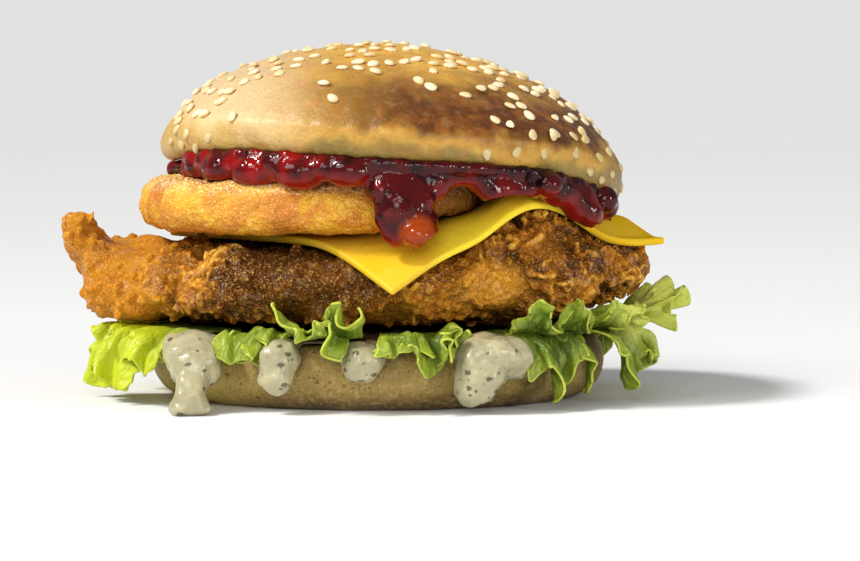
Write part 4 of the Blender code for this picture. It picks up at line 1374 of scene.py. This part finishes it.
class BURGER_OT_lettuce(bpy.types.Operator):
    """Builds the frilled lettuce leaves"""

    bl_idname = "burger.lettuce"
    bl_label = "Lettuce"

    def execute(self, context):
        finish = leaf_finish()
        hard = skin_of(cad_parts["bun_heel"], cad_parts["chicken"])
        folds = [(name, "", leaf) for name, leaf in LEAVES.items()]
        folds += [(name, "_upper", upper_fold(leaf)) for name, leaf in LEAVES.items()]
        for name, ending, leaf in folds:
            columns = round(leaf_length(leaf) * LEAF_DENSITY)
            bpy.ops.object.select_all(action="DESELECT")
            bpy.ops.mesh.primitive_grid_add(x_subdivisions=columns, y_subdivisions=LEAF_ROWS, size=1.0)
            obj = context.active_object
            obj.name = obj.data.name = "lettuce_" + name[5:] + ending
            places = [(v.co.x + 0.5, LEAF_ROOT + LEAF_COVER * (v.co.y + 0.5)) for v in obj.data.vertices]
            for vert, (share, along) in zip(obj.data.vertices, places):
                vert.co = leaf_point(leaf, share, along) * MM
            obj.data.update()
            push_out(obj, hard, LEAF_GAP)
            smoothed(obj, 8)
            normals = [Vector(n.vector) for n in obj.data.vertex_normals]
            for vert, normal, (share, along) in zip(obj.data.vertices, normals, places):
                vert.co += normal * ruffle(leaf, share, along) * MM
                vert.co.z = max(vert.co.z, LEAF_LOWEST * 0.7 * MM)
            smoothed(obj, 1, 0.4)
            self.store(obj, leaf, places)
            thickness = sizes().leaf_thickness
            apply_modifier(obj, "SOLIDIFY", thickness=thickness, offset=0.0, use_even_offset=False)
            finished(obj, finish, "lettuce", name)
        return {"FINISHED"}

    @staticmethod
    def store(obj, leaf, places):
        """Stores how near the rim each point is, and its place on the flat leaf."""
        edges, flat = [], []
        for share, along in places:
            rim = max((along - LEAF_START) / (1 - LEAF_START), 0.0)
            side = min(share, 1.0 - share) * leaf_length(leaf)
            edges.append(max(rim, 1.0 - side / 6.0 if rim > 0.05 else 0.0))
            flat += [share * leaf_length(leaf), along * 70.0, 0.0]
        attributes = obj.data.attributes
        attributes.new("edge", "FLOAT", "POINT").data.foreach_set("value", edges)
        attributes.new("leaf_place", "FLOAT_VECTOR", "POINT").data.foreach_set("vector", flat)


# The stage

CAMERA_TARGET = (0.013, 0.0, 0.02805)
CAMERA_DISTANCE = 1.0
CAMERA_RISE = math.radians(3.5)
CAMERA_LENS = 167.4
CAMERA_SENSOR = 36.0
WORLD_LIGHT = 0.3
WORLD_SEEN = 0.755
KEY_SIDE = math.radians(16.0)
KEY_RISE = math.radians(51.0)
KEY_WAY = (
    -math.cos(KEY_SIDE) * math.cos(KEY_RISE), -math.sin(KEY_SIDE) * math.cos(KEY_RISE), math.sin(KEY_RISE)
)
KEY_POWER = 2.46
# Name, place in metres, side, power and tint of each square soft light
SOFT_LIGHTS = [
    ("window", (-0.75, -0.6, 0.85), 0.5, 5.0, (1.0, 0.99, 0.97)),
    ("front", (-0.1, -1.25, 0.42), 0.5, 4.5, (1.0, 0.99, 0.97)),
    ("fill", (0.85, -0.75, 0.22), 0.26, 4.0, (1.0, 0.98, 0.94)),
]


class BURGER_OT_stage(bpy.types.Operator):
    """Sets the pale floor, the soft lights and the camera"""

    bl_idname = "burger.stage"
    bl_label = "Stage"

    def execute(self, context):
        scene = context.scene
        bpy.ops.object.select_all(action="DESELECT")
        bpy.ops.mesh.primitive_plane_add(size=sizes().floor_side)
        floor = context.active_object
        floor.name = "floor"
        made = Finish("pale_floor", roughness=0.9)
        made.base = made.mix(made.patches(900.0, 0.3, 0.7), srgb(237, 238, 240), srgb(239, 240, 242))
        floor.data.materials.append(made.done())
        self.light("key", "SUN", KEY_WAY, KEY_WAY, KEY_POWER, (1.0, 0.985, 0.95)).angle = math.radians(9.0)
        for name, place, side, power, tint in SOFT_LIGHTS:
            way = Vector(place) - Vector((0, 0, 0.045))
            self.light(name, "AREA", place, way, power, tint).size = side
        world = bpy.data.worlds.new("studio")
        world.use_nodes = True
        scene.world = world
        tree = world.node_tree
        background = tree.nodes["Background"]
        path = tree.nodes.new("ShaderNodeLightPath")
        seen = tree.nodes.new("ShaderNodeMapRange")
        tree.links.new(path.outputs["Is Camera Ray"], seen.inputs["Value"])
        seen.inputs["To Min"].default_value = WORLD_LIGHT
        seen.inputs["To Max"].default_value = WORLD_SEEN
        tree.links.new(seen.outputs["Result"], background.inputs["Strength"])
        background.inputs["Color"].default_value = (1.0, 1.0, 1.0, 1.0)
        camera = bpy.data.objects.new("camera", bpy.data.cameras.new("camera"))
        scene.collection.objects.link(camera)
        camera.data.lens = CAMERA_LENS
        camera.data.sensor_width = CAMERA_SENSOR
        away = Vector((0.0, -math.cos(CAMERA_RISE), math.sin(CAMERA_RISE)))
        camera.location = Vector(CAMERA_TARGET) + away * CAMERA_DISTANCE
        camera.rotation_euler = (math.radians(90) - CAMERA_RISE, 0.0, 0.0)
        scene.camera = camera
        scene.view_settings.view_transform = "Standard"
        return {"FINISHED"}

    @staticmethod
    def light(name, kind, place, way, power, tint):
        """A light whose rays come from this way."""
        data = bpy.data.lights.new(name, kind)
        data.energy = power
        data.color = tint
        obj = bpy.data.objects.new(name, data)
        bpy.context.scene.collection.objects.link(obj)
        obj.location = place
        obj.rotation_euler = Vector(way).to_track_quat("Z", "Y").to_euler()
        return data


class BURGER_PT_panel(bpy.types.Panel):
    """Lists the burger's pieces and what they are made to"""

    bl_label = "Chicken Burger"
    bl_idname = "BURGER_PT_panel"
    bl_space_type = "VIEW_3D"
    bl_region_type = "UI"
    bl_category = "Burger"

    def draw(self, context):
        layout = self.layout
        for operator in OPERATORS:
            layout.operator(operator.bl_idname)
        for group in (context.scene.burger_sizes, context.scene.burger_colours):
            column = layout.column()
            for name in group.__annotations__:
                column.prop(group, name)


OPERATORS = (
    BURGER_OT_heel,
    BURGER_OT_sauce,
    BURGER_OT_chicken,
    BURGER_OT_cheese,
    BURGER_OT_hash_brown,
    BURGER_OT_relish,
    BURGER_OT_crown,
    BURGER_OT_seeds,
    BURGER_OT_lettuce,
    BURGER_OT_stage,
)
CLASSES = (BurgerSizes, BurgerColours, *OPERATORS, BURGER_PT_panel)


def register():
    for entry in CLASSES:
        bpy.utils.register_class(entry)
    bpy.types.Scene.burger_sizes = bpy.props.PointerProperty(type=BurgerSizes)
    bpy.types.Scene.burger_colours = bpy.props.PointerProperty(type=BurgerColours)


def unregister():
    del bpy.types.Scene.burger_colours
    del bpy.types.Scene.burger_sizes
    for entry in reversed(CLASSES):
        bpy.utils.unregister_class(entry)


def main():
    register()
    for operator in OPERATORS:
        getattr(bpy.ops.burger, operator.bl_idname.split(".")[1])()


if __name__ == "__main__":
    main()
